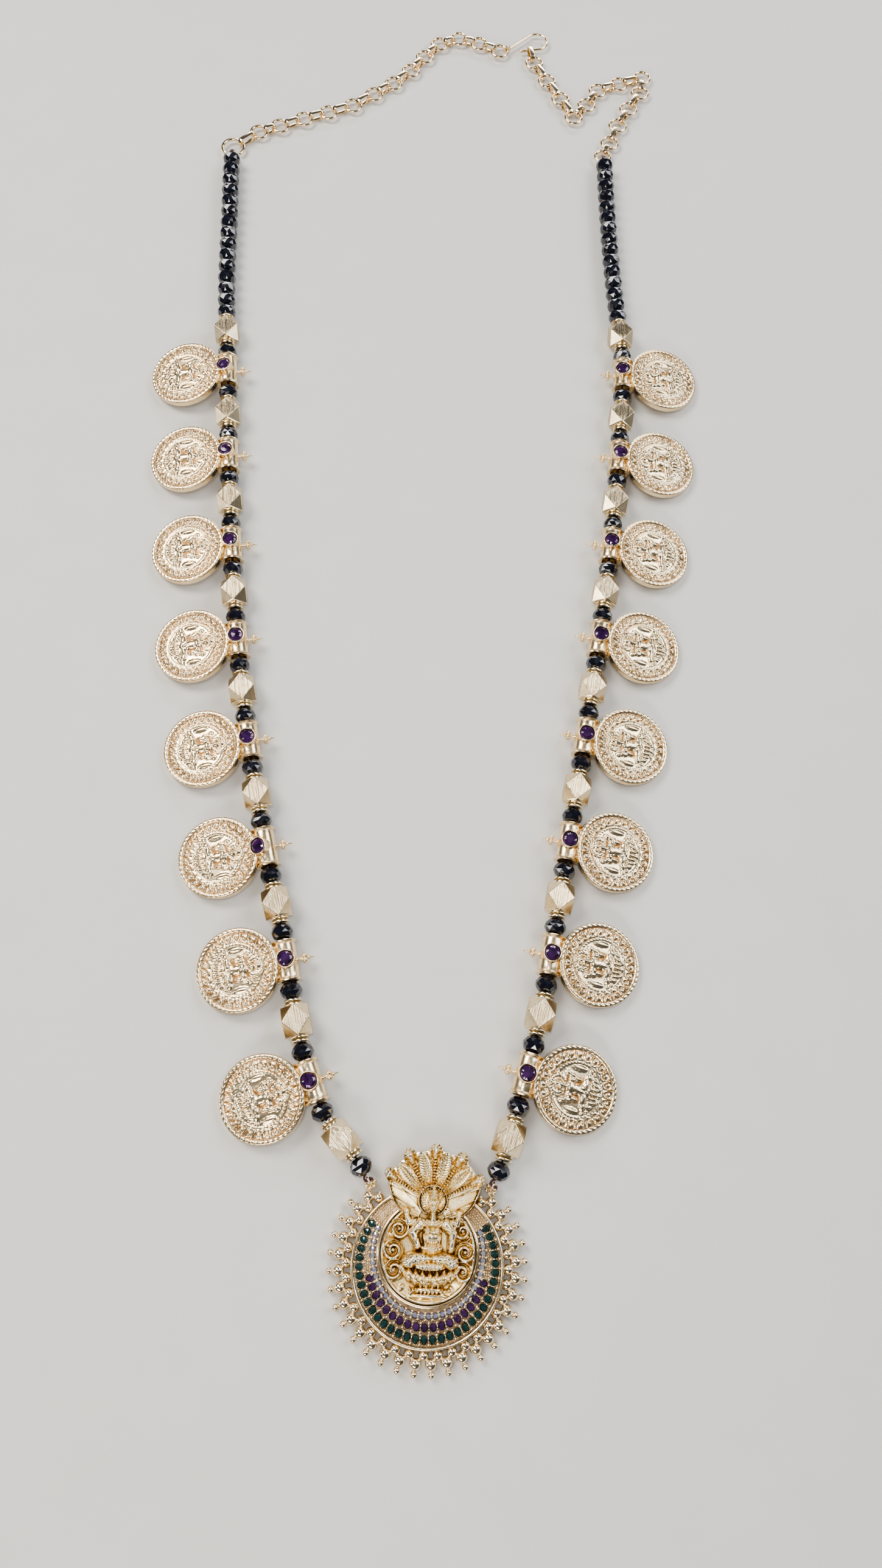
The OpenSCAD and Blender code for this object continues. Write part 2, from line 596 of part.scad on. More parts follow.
// A short flat link, standing on edge round two wires
module band_link(p, q, wire) {
    high = band_h / 2 - band_t;
    end_room = high - sqrt(high * high - wire * wire);
    hole_r = small_jump_r - ring_wire;
    side_room = hole_r - sqrt(hole_r * hole_r - band_w * band_w / 4);
    half = norm(q - p) / 2 + wire + end_room + side_room + link_gap;
    middle = (p + q) / 2;
    way = q - p;
    translate([middle.x, middle.y, chain_z])
        rotate([90, 0, atan2(way.y, way.x)])
            linear_extrude(height = band_w, center = true)
                difference() {
                    slot_outline(half + band_t, high + band_t);
                    slot_outline(half, high);
                }
}

module slot_outline(half, high) {
    square([2 * (half - high), 2 * high], center = true);
    for (x = [-1, 1]) translate([x * (half - high), 0]) circle(r = high);
}

// Rings lie flat, and a short link joins each to the next
module chain(first_at, first_r, rings, last_wire) {
    n = len(rings) - 1;
    centres = concat([first_at], rings);
    for (p = rings) wire_ring(p, ring_r, ring_wire);
    for (i = [0 : n]) {
        way = unit(centres[i + 1] - centres[i]);
        band_link(centres[i] + way * (i == 0 ? first_r : ring_r), centres[i + 1] - way * ring_r, ring_wire);
    }
    if (len(last_wire) > 0)
        band_link(rings[n] + ring_r * unit(last_wire - rings[n]), last_wire, ring_wire);
}

// Hook: its eye stands round the last left ring, its bend lies flat
hook_dir = polar(1, hook_turn);
hook_eye_r = hook_wire + ring_wire + link_gap;
hook_eye = left_rings[len(left_rings) - 1] + ring_r * hook_dir;
hook_reach_out = hook_l - hook_eye_r;
hook_slant = asin(hook_bend_r / hook_reach_out);
hook_back = 100;
back_start = [hook_l, 0] + polar(hook_bend_r, -hook_back);
back_dir = polar(1, 270 - hook_back);
back_l = 6;
function on_hook(p) = hook_eye + turned(p, hook_turn);
catch_at = on_hook(back_start + back_dir * (hook_l - hook_catch) * 0.9);

// Straight wire that stops just short of two places, and a ball that joins wires
module wire_between(p, q, r) {
    way = unit(q - p);
    from = p + 0.1 * way;
    translate([from.x, from.y, 0]) rotate([0, 90, atan2(way.y, way.x)]) cylinder(r = r, h = norm(q - p) - 0.2);
}

module wire_joint(p, way, r) {
    translate([p.x, p.y, 0]) rotate([0, 0, atan2(way.y, way.x) + 90]) sphere(r = 1.08 * r);
}

module hook() {
    bend_start = [hook_l, 0] + polar(hook_bend_r, 90 + hook_slant);
    back_end = back_start + back_dir * back_l;
    color("#e0bd8b")
        translate([hook_eye.x, hook_eye.y, chain_z])
            rotate([0, 0, hook_turn]) {
                rotate([90, 0, 0]) rotate_extrude() translate([hook_eye_r, 0]) circle(r = hook_wire);
                wire_between([hook_eye_r - 0.1, 0], bend_start, 0.97 * hook_wire);
                wire_joint(bend_start, bend_start, hook_wire);
                translate([hook_l, 0, 0]) rotate([0, 0, -hook_back])
                    rotate_extrude(angle = 90 + hook_slant + hook_back)
                        translate([hook_bend_r, 0]) circle(r = hook_wire);
                wire_joint(back_start, back_dir, hook_wire);
                wire_between(back_start, back_end, hook_wire);
                translate([back_end.x, back_end.y, 0]) sphere(r = 1.4 * hook_wire);
            }
}

module left_chain() {
    color("#e0bd8b") chain(jump_at("left"), jump_r, left_rings, []);
}

module right_chain() {
    color("#e0bd8b") chain(jump_at("right"), small_jump_r, right_rings, catch_at);
}

pendant();
medallion();
green_stones();
ruby_stones();
for (side = ["left", "right"]) {
    for (k = [1 : drop_count])
        drop_node(side, k);
    for (k = [1 : drop_count + 1])
        gold_bead_node(side, k);
    drop_stones(side);
    beads_of(side, "rondelle");
    beads_of(side, "strand");
    thread(side);
}
left_jump_ring();
right_jump_ring();
left_chain();
right_chain();
hook();
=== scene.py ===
# %% [markdown]
# # Dressing a temple jewellery necklace
# The necklace lies in a loop: a round pendant at the bottom, two strings with coins,
# gold beads and dark cut beads, and a ring chain with a hook at the top. The model that
# carries it is already packed with plain solids at their real size. This lesson loads it,
# keeps it as the frame, and puts a finer surface over each solid, in the same place.
# Lengths are worked out in millimetres, as a jeweller would, and turned into metres when
# a mesh is made.

# %% Load the frame
import math
import bpy
import numpy as np
from mathutils import Matrix, Vector


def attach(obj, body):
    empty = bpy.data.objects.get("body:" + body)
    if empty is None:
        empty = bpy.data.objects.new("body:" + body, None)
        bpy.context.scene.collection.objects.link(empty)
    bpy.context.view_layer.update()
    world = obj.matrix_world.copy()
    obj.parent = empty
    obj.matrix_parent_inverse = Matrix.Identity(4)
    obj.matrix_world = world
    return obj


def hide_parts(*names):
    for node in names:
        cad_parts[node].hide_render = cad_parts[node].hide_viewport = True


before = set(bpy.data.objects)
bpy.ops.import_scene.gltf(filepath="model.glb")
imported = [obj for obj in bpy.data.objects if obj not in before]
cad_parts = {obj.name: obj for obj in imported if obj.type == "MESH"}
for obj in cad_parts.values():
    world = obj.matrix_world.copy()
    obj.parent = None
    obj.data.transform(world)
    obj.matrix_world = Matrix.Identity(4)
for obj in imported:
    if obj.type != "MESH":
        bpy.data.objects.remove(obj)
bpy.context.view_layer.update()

mm = 0.001

# %% [markdown]
# ## Surfaces from arrays
# Most of this jewellery is turned, drawn or cast, so nearly every piece is either rows
# of rings that are joined into a skin, or a sheet whose height is a formula. Both are
# quick to work out as whole arrays. A "skin" here is a dictionary of arrays: points,
# faces, a pair of pattern coordinates for each face corner, and a painted shade value for
# each point, higher the lower it lies, which the gold uses to paint shade into its recesses.

# %% Skins and how they are joined
def skin(rings, closed=False, painted_shade=None):
    """Rings of points, rows by columns by 3, joined in quads; the end rings close to their middle
    point unless the rows themselves form a closed loop. Rings run counter-clockwise seen from the
    last one, so that faces point outwards."""
    rows, cols, _ = rings.shape
    index = np.arange(rows * cols).reshape(rows, cols)
    low = index if closed else index[:-1]
    high = np.roll(index, -1, 0) if closed else index[1:]
    faces = np.stack([low, np.roll(low, -1, 1), np.roll(high, -1, 1), high], -1).reshape(-1, 4)
    u = np.arange(cols) / cols
    v = np.arange(len(low))[:, None]
    corner = np.stack([np.stack([u + 0 * v, v + 0 * u], -1), np.stack([u + 1 / cols + 0 * v, v + 0 * u], -1),
                       np.stack([u + 1 / cols + 0 * v, v + 1 + 0 * u], -1),
                       np.stack([u + 0 * v, v + 1 + 0 * u], -1)], 2).reshape(-1, 4, 2)
    points = rings.reshape(-1, 3)
    shade_amount = np.zeros(len(points)) if painted_shade is None else np.asarray(painted_shade, float).reshape(-1)
    if not closed:
        first, last = index[0], index[-1]
        n = rows * cols
        fan_low = np.stack([np.full(cols, n), np.roll(first, -1), first, np.full(cols, -1)], -1)
        fan_high = np.stack([np.full(cols, n + 1), last, np.roll(last, -1), np.full(cols, -1)], -1)
        faces = np.concatenate([faces, fan_low, fan_high])
        corner = np.concatenate([corner, np.zeros((2 * cols, 4, 2))])
        points = np.concatenate([points, rings[0].mean(0)[None], rings[-1].mean(0)[None]])
        shade_amount = np.concatenate([shade_amount, [shade_amount[:cols].mean(), shade_amount[-cols:].mean()]])
    return outward({"points": points, "faces": faces, "corner": corner, "painted_shade": shade_amount,
                    "smooth": np.ones(len(faces), bool)})


def outward(s):
    """The skin with its faces turned round if they enclose a negative volume, sum a . (b x c)."""
    f = s["faces"]
    p = s["points"] - s["points"].mean(0)
    last = np.where(f[:, 3] < 0, f[:, 0], f[:, 3])
    volume = sum((p[f[:, 0]] * np.cross(p[b], p[c])).sum() for b, c in ((f[:, 1], f[:, 2]), (f[:, 2], last)))
    return flipped(s) if volume < 0 else s


def join(skins):
    """Many skins as one, with each one's faces counted on from the last one's points."""
    counts = np.cumsum([0] + [len(s["points"]) for s in skins])[:-1]
    faces = [np.where(s["faces"] < 0, -1, s["faces"] + n) for s, n in zip(skins, counts)]
    whole = {key: np.concatenate([s[key] for s in skins]) for key in ("points", "corner", "painted_shade", "smooth")}
    return whole | {"faces": np.concatenate(faces)}


def flipped(s):
    """The same skin with its faces turned round, for a mirrored piece."""
    four = s["faces"][:, 3] >= 0
    order = np.where(four[:, None], [3, 2, 1, 0], [2, 1, 0, 3])
    faces = np.take_along_axis(s["faces"], order, 1)
    corner = np.take_along_axis(s["corner"], order[..., None], 1)
    return s | {"faces": faces, "corner": corner}


def moved(s, matrix=np.eye(3), at=(0, 0, 0)):
    """A skin turned by a matrix whose columns are its new axes, then shifted."""
    matrix = np.asarray(matrix, float)
    out = s | {"points": s["points"] @ matrix.T + np.asarray(at, float)}
    return flipped(out) if np.linalg.det(matrix) < 0 else out


def turn(axis, degrees):
    """Matrix of a turn about x, y or z by the right-hand rule."""
    a = math.radians(degrees)
    c, s = math.cos(a), math.sin(a)
    i = "xyz".index(axis)
    j, k = (i + 1) % 3, (i + 2) % 3
    m = np.eye(3)
    m[j, j], m[j, k], m[k, j], m[k, k] = c, -s, s, c
    return m


root = "root"
made = {}


def piece(name, s, material, nodes=(), sharp=40):
    """A skin as an object at the origin, in metres, that rides on the frame and stands for nodes."""
    mesh = bpy.data.meshes.new(name)
    mesh.vertices.add(len(s["points"]))
    mesh.vertices.foreach_set("co", (s["points"] * mm).astype(np.float32).ravel())
    used = s["faces"] >= 0
    sides = used.sum(1)
    mesh.loops.add(int(sides.sum()))
    mesh.loops.foreach_set("vertex_index", s["faces"][used].astype(np.int32))
    mesh.polygons.add(len(sides))
    mesh.polygons.foreach_set("loop_start", np.concatenate([[0], np.cumsum(sides)[:-1]]).astype(np.int32))
    mesh.update(calc_edges=True)
    layer = mesh.uv_layers.new(name="pattern")
    layer.data.foreach_set("uv", s["corner"][used].astype(np.float32).ravel())
    # The painted shade value of each point goes to the materials as an attribute.
    painted_shade = mesh.attributes.new("painted_shade", "FLOAT", "POINT")
    painted_shade.data.foreach_set("value", np.clip(s["painted_shade"], 0, 1).astype(np.float32))
    mesh.set_sharp_from_angle(angle=math.radians(sharp))
    mesh.polygons.foreach_set("use_smooth", s["smooth"])
    mesh.materials.append(material)
    obj = bpy.data.objects.new(name, mesh)
    bpy.context.collection.objects.link(obj)
    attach(obj, root)
    if nodes:
        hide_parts(*nodes)
    made[name] = int((sides - 2).sum())
    return obj


# %% Turned, drawn and round forms
def around(count):
    """Even angles in a whole turn, in radians."""
    return np.arange(count) * 2 * np.pi / count


def turned(profile, sides=48, painted_shade=None):
    """A profile of [radius, height] from bottom to top, turned about z: (r cos a, r sin a, h)."""
    p = np.asarray(profile, float)
    a = around(sides)
    rings = np.stack([p[:, :1] * np.cos(a), p[:, :1] * np.sin(a), p[:, 1:] + 0 * a], -1)
    shade_amount = None if painted_shade is None else np.repeat(np.asarray(painted_shade, float), sides)
    return skin(rings, painted_shade=shade_amount)


def ball(at, r, rings=9, sides=14):
    """A sphere from rings of latitude: radius r cos t at height r sin t."""
    t = np.linspace(-np.pi / 2, np.pi / 2, rings + 2)[1:-1]
    whole = turned(np.stack([r * np.cos(t), r * np.sin(t)], -1), sides)
    whole["points"][-2:] = [[0, 0, -r], [0, 0, r]]
    whole["points"] = whole["points"] + np.asarray(at, float)
    return whole


def hoop(r, wire, sides=64, wire_sides=12):
    """A ring of wire about z: a circle of radius wire carried round a circle of radius r."""
    a, b = around(sides)[:, None], around(wire_sides)
    out = r + wire * np.cos(b)
    rings = np.stack([out * np.cos(a), out * np.sin(a), wire * np.sin(b) + 0 * a], -1)
    return skin(rings[::-1], closed=True)


def unit(v):
    """Each vector at a length of 1."""
    return v / np.linalg.norm(v, axis=-1, keepdims=True)


def wire(path, radius, sides=10, up=(0, 0, 1)):
    """A round wire along a path: each ring lies across the path's direction there, on a side vector
    (direction x up) and a second one across both. The radius may change along the path."""
    p = np.asarray(path, float)
    way = unit(np.gradient(p, axis=0))
    side = unit(np.cross(way, np.asarray(up, float)))
    over = np.cross(side, way)
    r = np.broadcast_to(np.asarray(radius, float), (len(p),))[:, None, None]
    a = around(sides)[None, :, None]
    rings = p[:, None] + r * (side[:, None] * np.cos(a) + over[:, None] * np.sin(a))
    return skin(rings[:, ::-1])


def ridge(d, width):
    """A rounded ridge: 1 on its middle line and 0 beyond its half width, as sqrt(1 - (d / w)^2)."""
    return np.sqrt(np.clip(1 - (d / width) ** 2, 0, None))


def bump(d, width):
    """A soft swelling, 1 in the middle: exp(-(d / w)^2)."""
    return np.exp(-(d / width) ** 2)


print("skin helpers ready")

# %% [markdown]
# ## Where each piece lies
# A string of beads follows a curve that runs smoothly through points chosen on the
# table. Each bead lies straight along the piece of curve between its two ends, so a
# place along the string is all that has to be known of it. On the real necklace this is
# the stringing order: dark bead, gold bead, dark bead, coin, and so on up to the strands
# of dark beads at the nape.

# %% The strings and the order of the beads
left_route = [(-16.6, 21.2), (-20.8, 25.6), (-25, 30.6), (-28.2, 37.4), (-32.4, 49.6), (-37.4, 70), (-43.4, 91),
              (-50.3, 118.4), (-56, 146), (-60.4, 173.8), (-64.2, 201.8), (-67.4, 229.6), (-69.6, 247),
              (-71.5, 265), (-72.9, 285), (-74.1, 300), (-75.2, 316)]
right_route = [(15.2, 21), (17, 26.9), (20.3, 40.2), (23.6, 54.4), (25.8, 68.4), (29.7, 96), (33.8, 124),
               (37.5, 151.8), (40.7, 179.6), (43, 207), (44.5, 234), (44.3, 248), (42.7, 264), (41.3, 282),
               (40.4, 300), (39.6, 319)]
sides = ("left", "right")
string_z, chain_z = 3.2, 1.4
rondelle_l, gold_l, collar_l, tube_l = 3.95, 7.1, 1.4, 9.6
bead_gap, first_gap, bend_gap = 0.2, 1.45, 0.2
order = ["rondelle", "gold"] + ["rondelle", "drop", "rondelle", "gold"] * 8 + ["strand"] * 15
length_of = {"rondelle": rondelle_l, "strand": rondelle_l, "drop": tube_l, "gold": gold_l + 2 * collar_l}
lengths = np.array([length_of[kind] for kind in order])
gaps = np.full(len(order), bead_gap)
gaps[:3] += bend_gap
starts = first_gap + np.concatenate([[0], np.cumsum(lengths + gaps)[:-1]])
string_end = starts[-1] + rondelle_l


def smooth_route(points):
    """Catmull-Rom curve through points a, b, c, d: (2b + (c-a)t + (2a-5b+4c-d)t^2 + (3b-a-3c+d)t^3) / 2,
    in eight steps from each point to the next."""
    p = np.asarray(points, float)
    n = len(p) - 1
    i = np.arange(n)
    a, b, c, d = (p[k][:, None] for k in (np.maximum(i - 1, 0), i, i + 1, np.minimum(i + 2, n)))
    t = (np.arange(8) / 8)[None, :, None]
    q = (2 * b + (c - a) * t + (2 * a - 5 * b + 4 * c - d) * t ** 2 + (3 * b - a - 3 * c + d) * t ** 3) / 2
    return np.concatenate([q.reshape(-1, 2), p[-1:]])


def polar(r, degrees):
    """Points of the plane at a distance and an angle."""
    a = np.radians(degrees)
    return np.stack([r * np.cos(a), r * np.sin(a)], -1)


flower_at = {"left": polar(21.1, 180 - 50.6), "right": polar(21.1, 50.6)}
routes, runs, string_way, eye_at = {}, {}, {}, {}
for side, route in zip(sides, (left_route, right_route)):
    string_way[side] = unit(np.array(route[0]) - flower_at[side])
    eye_at[side] = flower_at[side] + 0.7 * string_way[side]
    routes[side] = smooth_route([eye_at[side]] + list(route))
    steps = np.linalg.norm(np.diff(routes[side], axis=0), axis=1)
    runs[side] = np.concatenate([[0], np.cumsum(steps)])


def place(side, s):
    """Point of the route at a distance s along it."""
    return np.stack([np.interp(s, runs[side], routes[side][:, k]) for k in (0, 1)], -1)


def stand(side, i):
    """Axes and middle of piece i of a string: X along it, Y outwards, Z up."""
    low, high = place(side, starts[i]), place(side, starts[i] + lengths[i])
    way = unit(high - low) * (1 if side == "left" else -1)
    axes = np.array([[way[0], -way[1], 0], [way[1], way[0], 0], [0, 0, 1]])
    return axes, np.append((low + high) / 2, string_z)


def indices(kind):
    """Places of one kind of piece in the stringing order."""
    return [i for i, k in enumerate(order) if k == kind]


end_way = {side: unit(place(side, string_end) - place(side, string_end - rondelle_l)) for side in sides}
print("string length to the knot:", round(float(string_end), 1), "mm,", len(order), "pieces on each side")

# %% [markdown]
# ## Gold
# The necklace is brass under a thin layer of gold. Polished gold shows the room in it,
# and what makes a relief readable is the shade in its recesses, which is painted here. The
# material mixes a bright gold with a brown painted shade by how low each point lies, breaks
# that up with soft noise, and scratches the surface lightly.

# %% The gold materials
def node(tree, kind, **values):
    """A new shader node with its settings; in_0, in_1 and so on set its inputs."""
    n = tree.nodes.new(kind)
    for key, value in values.items():
        if key.startswith("in_"):
            n.inputs[int(key[3:])].default_value = value
        else:
            setattr(n, key, value)
    return n


def noise(tree, source, scale, detail=3, stretch=None):
    """Soft noise from 0 to 1 over some coordinates, which may be stretched first."""
    if stretch:
        m = node(tree, "ShaderNodeMapping")
        m.inputs["Scale"].default_value = stretch
        tree.links.new(source, m.inputs["Vector"])
        source = m.outputs["Vector"]
    n = node(tree, "ShaderNodeTexNoise")
    n.inputs["Scale"].default_value = scale
    n.inputs["Detail"].default_value = detail
    tree.links.new(source, n.inputs["Vector"])
    return n.outputs["Fac"]


def ramp(tree, source, stops):
    """Colours or greys at places along a value from 0 to 1."""
    r = node(tree, "ShaderNodeValToRGB")
    while len(r.color_ramp.elements) < len(stops):
        r.color_ramp.elements.new(0.5)
    for e, (at, colour) in zip(r.color_ramp.elements, stops):
        e.position = at
        e.color = tuple(colour) + (1,) if len(colour) == 3 else (colour[0],) * 3 + (1,)
    tree.links.new(source, r.inputs["Fac"])
    return r.outputs["Color"]


def maths(tree, operation, a, b=0.0, clamp=False):
    """One sum of two values or sockets."""
    m = node(tree, "ShaderNodeMath", operation=operation, use_clamp=clamp)
    for socket, value in zip(m.inputs, (a, b)):
        if hasattr(value, "links"):
            tree.links.new(value, socket)
        else:
            socket.default_value = value
    return m.outputs[0]


def mixed(tree, factor, a, b):
    """A colour between a and b, by a factor from 0 to 1."""
    m = node(tree, "ShaderNodeMix", data_type="RGBA")
    for socket, value in ((m.inputs[0], factor), (m.inputs[6], a), (m.inputs[7], b)):
        if hasattr(value, "links"):
            tree.links.new(value, socket)
        else:
            socket.default_value = tuple(value) + (1,) if not isinstance(value, float) else value
    return m.outputs[2]


def start_material(name):
    """A new material with its node tree, its shader and its coordinates."""
    m = bpy.data.materials.new(name)
    m.use_nodes = True
    tree = m.node_tree
    shader = next(n for n in tree.nodes if n.type == "BSDF_PRINCIPLED")
    coords = node(tree, "ShaderNodeTexCoord")
    return m, tree, shader, coords


def bumped(tree, shader, height, distance):
    """Fine unevenness of the surface: a bump of some distance in metres by a height from 0 to 1."""
    b = node(tree, "ShaderNodeBump")
    b.inputs["Strength"].default_value = 1
    b.inputs["Distance"].default_value = distance
    tree.links.new(height, b.inputs["Height"])
    tree.links.new(b.outputs["Normal"], shader.inputs["Normal"])


def gold(name, bright, warm, dark, rough, brushed=False):
    """Gold that goes from bright to a brown painted shade with the painted shade value, with warmer patches
    between.
    """
    m, tree, shader, coords = start_material(name)
    at = coords.outputs["Object"]
    shade_amount = node(tree, "ShaderNodeAttribute", attribute_name="painted_shade")
    cloud = noise(tree, at, 900, 4)
    grain = noise(tree, at, 5200, 2)
    tone = mixed(tree, ramp(tree, cloud, [(0.35, (0.0,)), (0.7, (1.0,))]), bright, warm)
    # Painted shade: the colour turns to the brown third colour where the painted shade value is high, in the
    # recesses.
    painted_shade_mix = maths(tree, "ADD", shade_amount.outputs["Fac"],
                 maths(tree, "MULTIPLY", maths(tree, "SUBTRACT", cloud, 0.5), 0.5), clamp=True)
    tone = mixed(tree, ramp(tree, painted_shade_mix, [(0.22, (0.0,)), (0.85, (1.0,))]), tone, dark)
    tree.links.new(tone, shader.inputs["Base Color"])
    shader.inputs["Metallic"].default_value = 1
    wear = maths(tree, "ADD", maths(tree, "MULTIPLY", grain, 0.1), maths(tree, "MULTIPLY", painted_shade_mix, 0.2))
    tree.links.new(maths(tree, "ADD", wear, rough - 0.05), shader.inputs["Roughness"])
    if brushed:
        uv = node(tree, "ShaderNodeUVMap", uv_map="pattern")
        lines = noise(tree, uv.outputs["UV"], 1, 4, stretch=(3.6, 0.02, 1))
        bumped(tree, shader, lines, 0.0003)
        streak = ramp(tree, lines, [(0.36, (0.45, 0.4, 0.35)), (0.5, (0.95, 0.93, 0.9)), (1.0, (1.0,))])
        dyed = node(tree, "ShaderNodeMix", data_type="RGBA", blend_type="MULTIPLY")
        dyed.inputs[0].default_value = 1
        tree.links.new(tone, dyed.inputs[6])
        tree.links.new(streak, dyed.inputs[7])
        tree.links.new(dyed.outputs[2], shader.inputs["Base Color"])
    else:
        bumped(tree, shader, maths(tree, "ADD", grain, cloud), 0.000005)
    return m


# The third colour of each gold is the brown of its painted shade in the recesses.
pale_gold = gold("pale_gold", (0.94, 0.82, 0.61), (0.88, 0.7, 0.45), (0.3, 0.17, 0.07), 0.2)
coin_gold = gold("rosy_gold", (0.97, 0.82, 0.57), (0.92, 0.7, 0.41), (0.42, 0.2, 0.07), 0.23)
bead_gold = gold("bead_gold", (0.95, 0.81, 0.55), (0.88, 0.7, 0.42), (0.3, 0.2, 0.08), 0.18)
brushed_gold = gold("brushed_gold", (0.93, 0.81, 0.59), (0.8, 0.65, 0.42), (0.3, 0.2, 0.08), 0.2, brushed=True)
print("gold materials:", [m.name for m in bpy.data.materials if "gold" in m.name])

# %% [markdown]
# ## The coins
# Each coin is struck from thin sheet: a twisted rope edge, a ring of drops with pebbles
# between them, a second rope, and a polished field on which a seated figure rises with a
# halo of rays. A struck coin has no undercuts, so one height for each point of a round
# grid is enough. The height is the highest of many simple forms, as if each were pressed
# in from behind by its own punch.

# %% The height of the coin's face
coin_r, coin_t, coin_tilt = 10.0, 1.6, 12.0
petal_count = 24


def dome(x, y, cx, cy, rx, ry, h, angle=0.0):
    """An elliptic swelling: h sqrt(1 - (x/rx)^2 - (y/ry)^2), turned by an angle in degrees."""
    a = math.radians(angle)
    p, q = x - cx, y - cy
    p, q = p * math.cos(a) + q * math.sin(a), q * math.cos(a) - p * math.sin(a)
    return h * np.sqrt(np.clip(1 - (p / rx) ** 2 - (q / ry) ** 2, 0, None))


def rope(r, turns, middle, half, count):
    """A twisted rope round a circle: a ridge across r, cut by slanting grooves |sin(pi (n a + slant))|."""
    across = (r - middle) / half
    strand = np.abs(np.sin(np.pi * (count * turns + 0.55 * across)))
    return ridge(r - middle, half) * (0.3 + 0.7 * np.sqrt(strand))


def drop_ring(r, turns):
    """One arch in each step of a ring: an outline that is round inwards and open outwards, a boss under
    it, and pebbles between the arches."""
    step = (turns * petal_count) % 1 - 0.5
    u = step * 2 * np.pi * r / petal_count
    v = r - 7.55
    d = np.where(v < 0, np.hypot(u, 0.85 * v), np.abs(u))
    outline = np.where((v > -1.2) & (v < 1.1), ridge(d - 0.76, 0.25), 0)
    boss = 0.9 * ridge(np.hypot(u, 0.7 * (v - 0.3)), 0.46)
    edge_u = (0.5 - np.abs(step)) * 2 * np.pi * r / petal_count
    pebble = 0.7 * ridge(np.hypot(edge_u, r - 6.75), 0.26)
    return np.maximum.reduce([outline, boss, pebble])


coin_parts = [
    (0, 0.1, 1.0, 1.9, 0.62), (0, -1.3, 1.35, 0.95, 0.72), (0, -2.3, 0.45, 0.7, 0.6),
    (1.55, -1.2, 0.6, 0.75, 0.6), (2.0, -0.2, 0.45, 1.05, 0.5), (2.5, -1.35, 0.42, 0.95, 0.48),
    (2.75, -2.45, 0.5, 0.6, 0.5), (0, 1.0, 1.25, 0.7, 0.6), (1.35, 1.75, 1.6, 0.8, 0.66),
    (2.9, 2.0, 0.85, 0.7, 0.56), (0, 2.2, 1.1, 0.5, 0.62), (0.75, 2.85, 1.2, 0.36, 0.4),
    (4.25, -0.3, 0.55, 1.7, 0.36), (4.2, 2.35, 0.75, 0.45, 0.3), (3.6, 3.1, 0.5, 0.35, 0.3),
    (0, 4.95, 0.5, 0.4, 0.3), (1.3, 4.85, 0.5, 0.36, 0.26)]
lotus_xs = (-2.7, -1.8, -0.9, 0, 0.9, 1.8, 2.7)
figure_scale = 1.14


def coin_height(x, y):
    """Height of the face over its flat, and painted shade from 0 to 1 on its low places, in the field round the
    figure.
    """
    r, turns = np.hypot(x, y), np.arctan2(x, y) / (2 * np.pi)
    edge = 0.36 * rope(r, turns, 9.42, 0.55, 48)
    ring = np.where((r > 6.4) & (r < 8.95), 0.3 * drop_ring(r, turns), 0)
    r_in = np.hypot(x, y - 0.3)
    turns_in = np.arctan2(x, y - 0.3) / (2 * np.pi)
    inner = 0.28 * rope(r_in, turns_in, 6.12, 0.4, 48)
    field = np.where(r_in < 5.8, 0.1 + 0.1 * (1 - (r_in / 5.8) ** 2), 0)
    x, y = x / figure_scale, y / figure_scale
    ax = np.abs(x)
    figure = np.zeros_like(x)
    for cx, cy, rx, ry, h in coin_parts:
        figure = np.maximum(figure, dome(ax, y, cx, cy, rx, ry, h))
    for k, px in enumerate(lotus_xs):
        figure = np.maximum(figure, dome(x, y, px, 3.75 - 0.07 * px * px, 0.42, 0.95, 0.44, 7 * px))
    folds = 0.06 * np.sin(6 * y + 2.4 * ax) * bump(np.hypot(ax - 1.2, y - 1.9), 1.2)
    pleats = 0.06 * np.sin(8 * x) * bump(np.hypot(x, y - 1.4), 0.9)
    strands = 0.07 * np.sin(8 * (y + 0.3 * ax * ax)) * bump(np.hypot(x, y + 1.1), 0.7)
    figure = np.where(figure > 0.3, figure + folds + pleats + strands, figure)
    hx, hy = x / 2.1, (y + 3.9) / 1.9
    halo = np.hypot(hx, hy)
    rays = np.abs(np.cos(10 * np.arctan2(hx, hy))) ** 0.6
    crown = np.maximum(0.42 * ridge(halo - 0.8, 0.22) * (0.4 + 0.6 * rays), 0.4 * ridge(halo - 0.52, 0.06))
    crown = np.maximum(crown, 0.42 * ridge(halo - 1.04, 0.06)) * (y < -2.4)
    head = np.maximum(dome(x, y, 0, -3.35, 0.72, 0.86, 0.85), dome(x, y, 0, -4.4, 0.55, 0.8, 0.72))
    face = 0.14 * bump(np.hypot(x, 1.6 * (y + 3.1)), 0.12) - 0.09 * bump(np.hypot(ax - 0.27, y + 3.35), 0.13)
    head = np.where(np.hypot(x, y + 3.2) < 0.6, head + face, head)
    crown_bands = 0.06 * np.sin(11 * y) * bump(np.hypot(x, y + 4.3), 0.5)
    figure = np.maximum.reduce([figure, crown, np.where(head > 0, head + crown_bands, 0)])
    shown = (r_in < 5.75) | ((halo < 1.12) & (y < -2.4))
    inside = np.maximum(field, np.where(shown, figure + field * (figure > 0.02), 0))
    inner = np.where((halo < 1.0) & (y < -2.4), 0, inner)
    ring = np.where((halo < 1.12) & (y < -2.4), 0, ring)
    h = np.maximum.reduce([edge, ring, inner, inside])
    relief_here = np.maximum.reduce([edge, ring, inner, np.where(shown, figure, 0)])
    # Painted shade: the low places between the ropes and drops are darkened, and in the field only round the
    # figure.
    near = np.where(r_in < 5.75, bump(np.clip(np.hypot(x / 3, y / 4.6) - 0.75, 0, None), 0.25), 1)
    painted_shade = np.clip(1 - relief_here / 0.2, 0, 1) * (0.35 + 0.65 * near) * np.where(r_in < 5.75, 0.85 * near, 0.8)
    return h, painted_shade


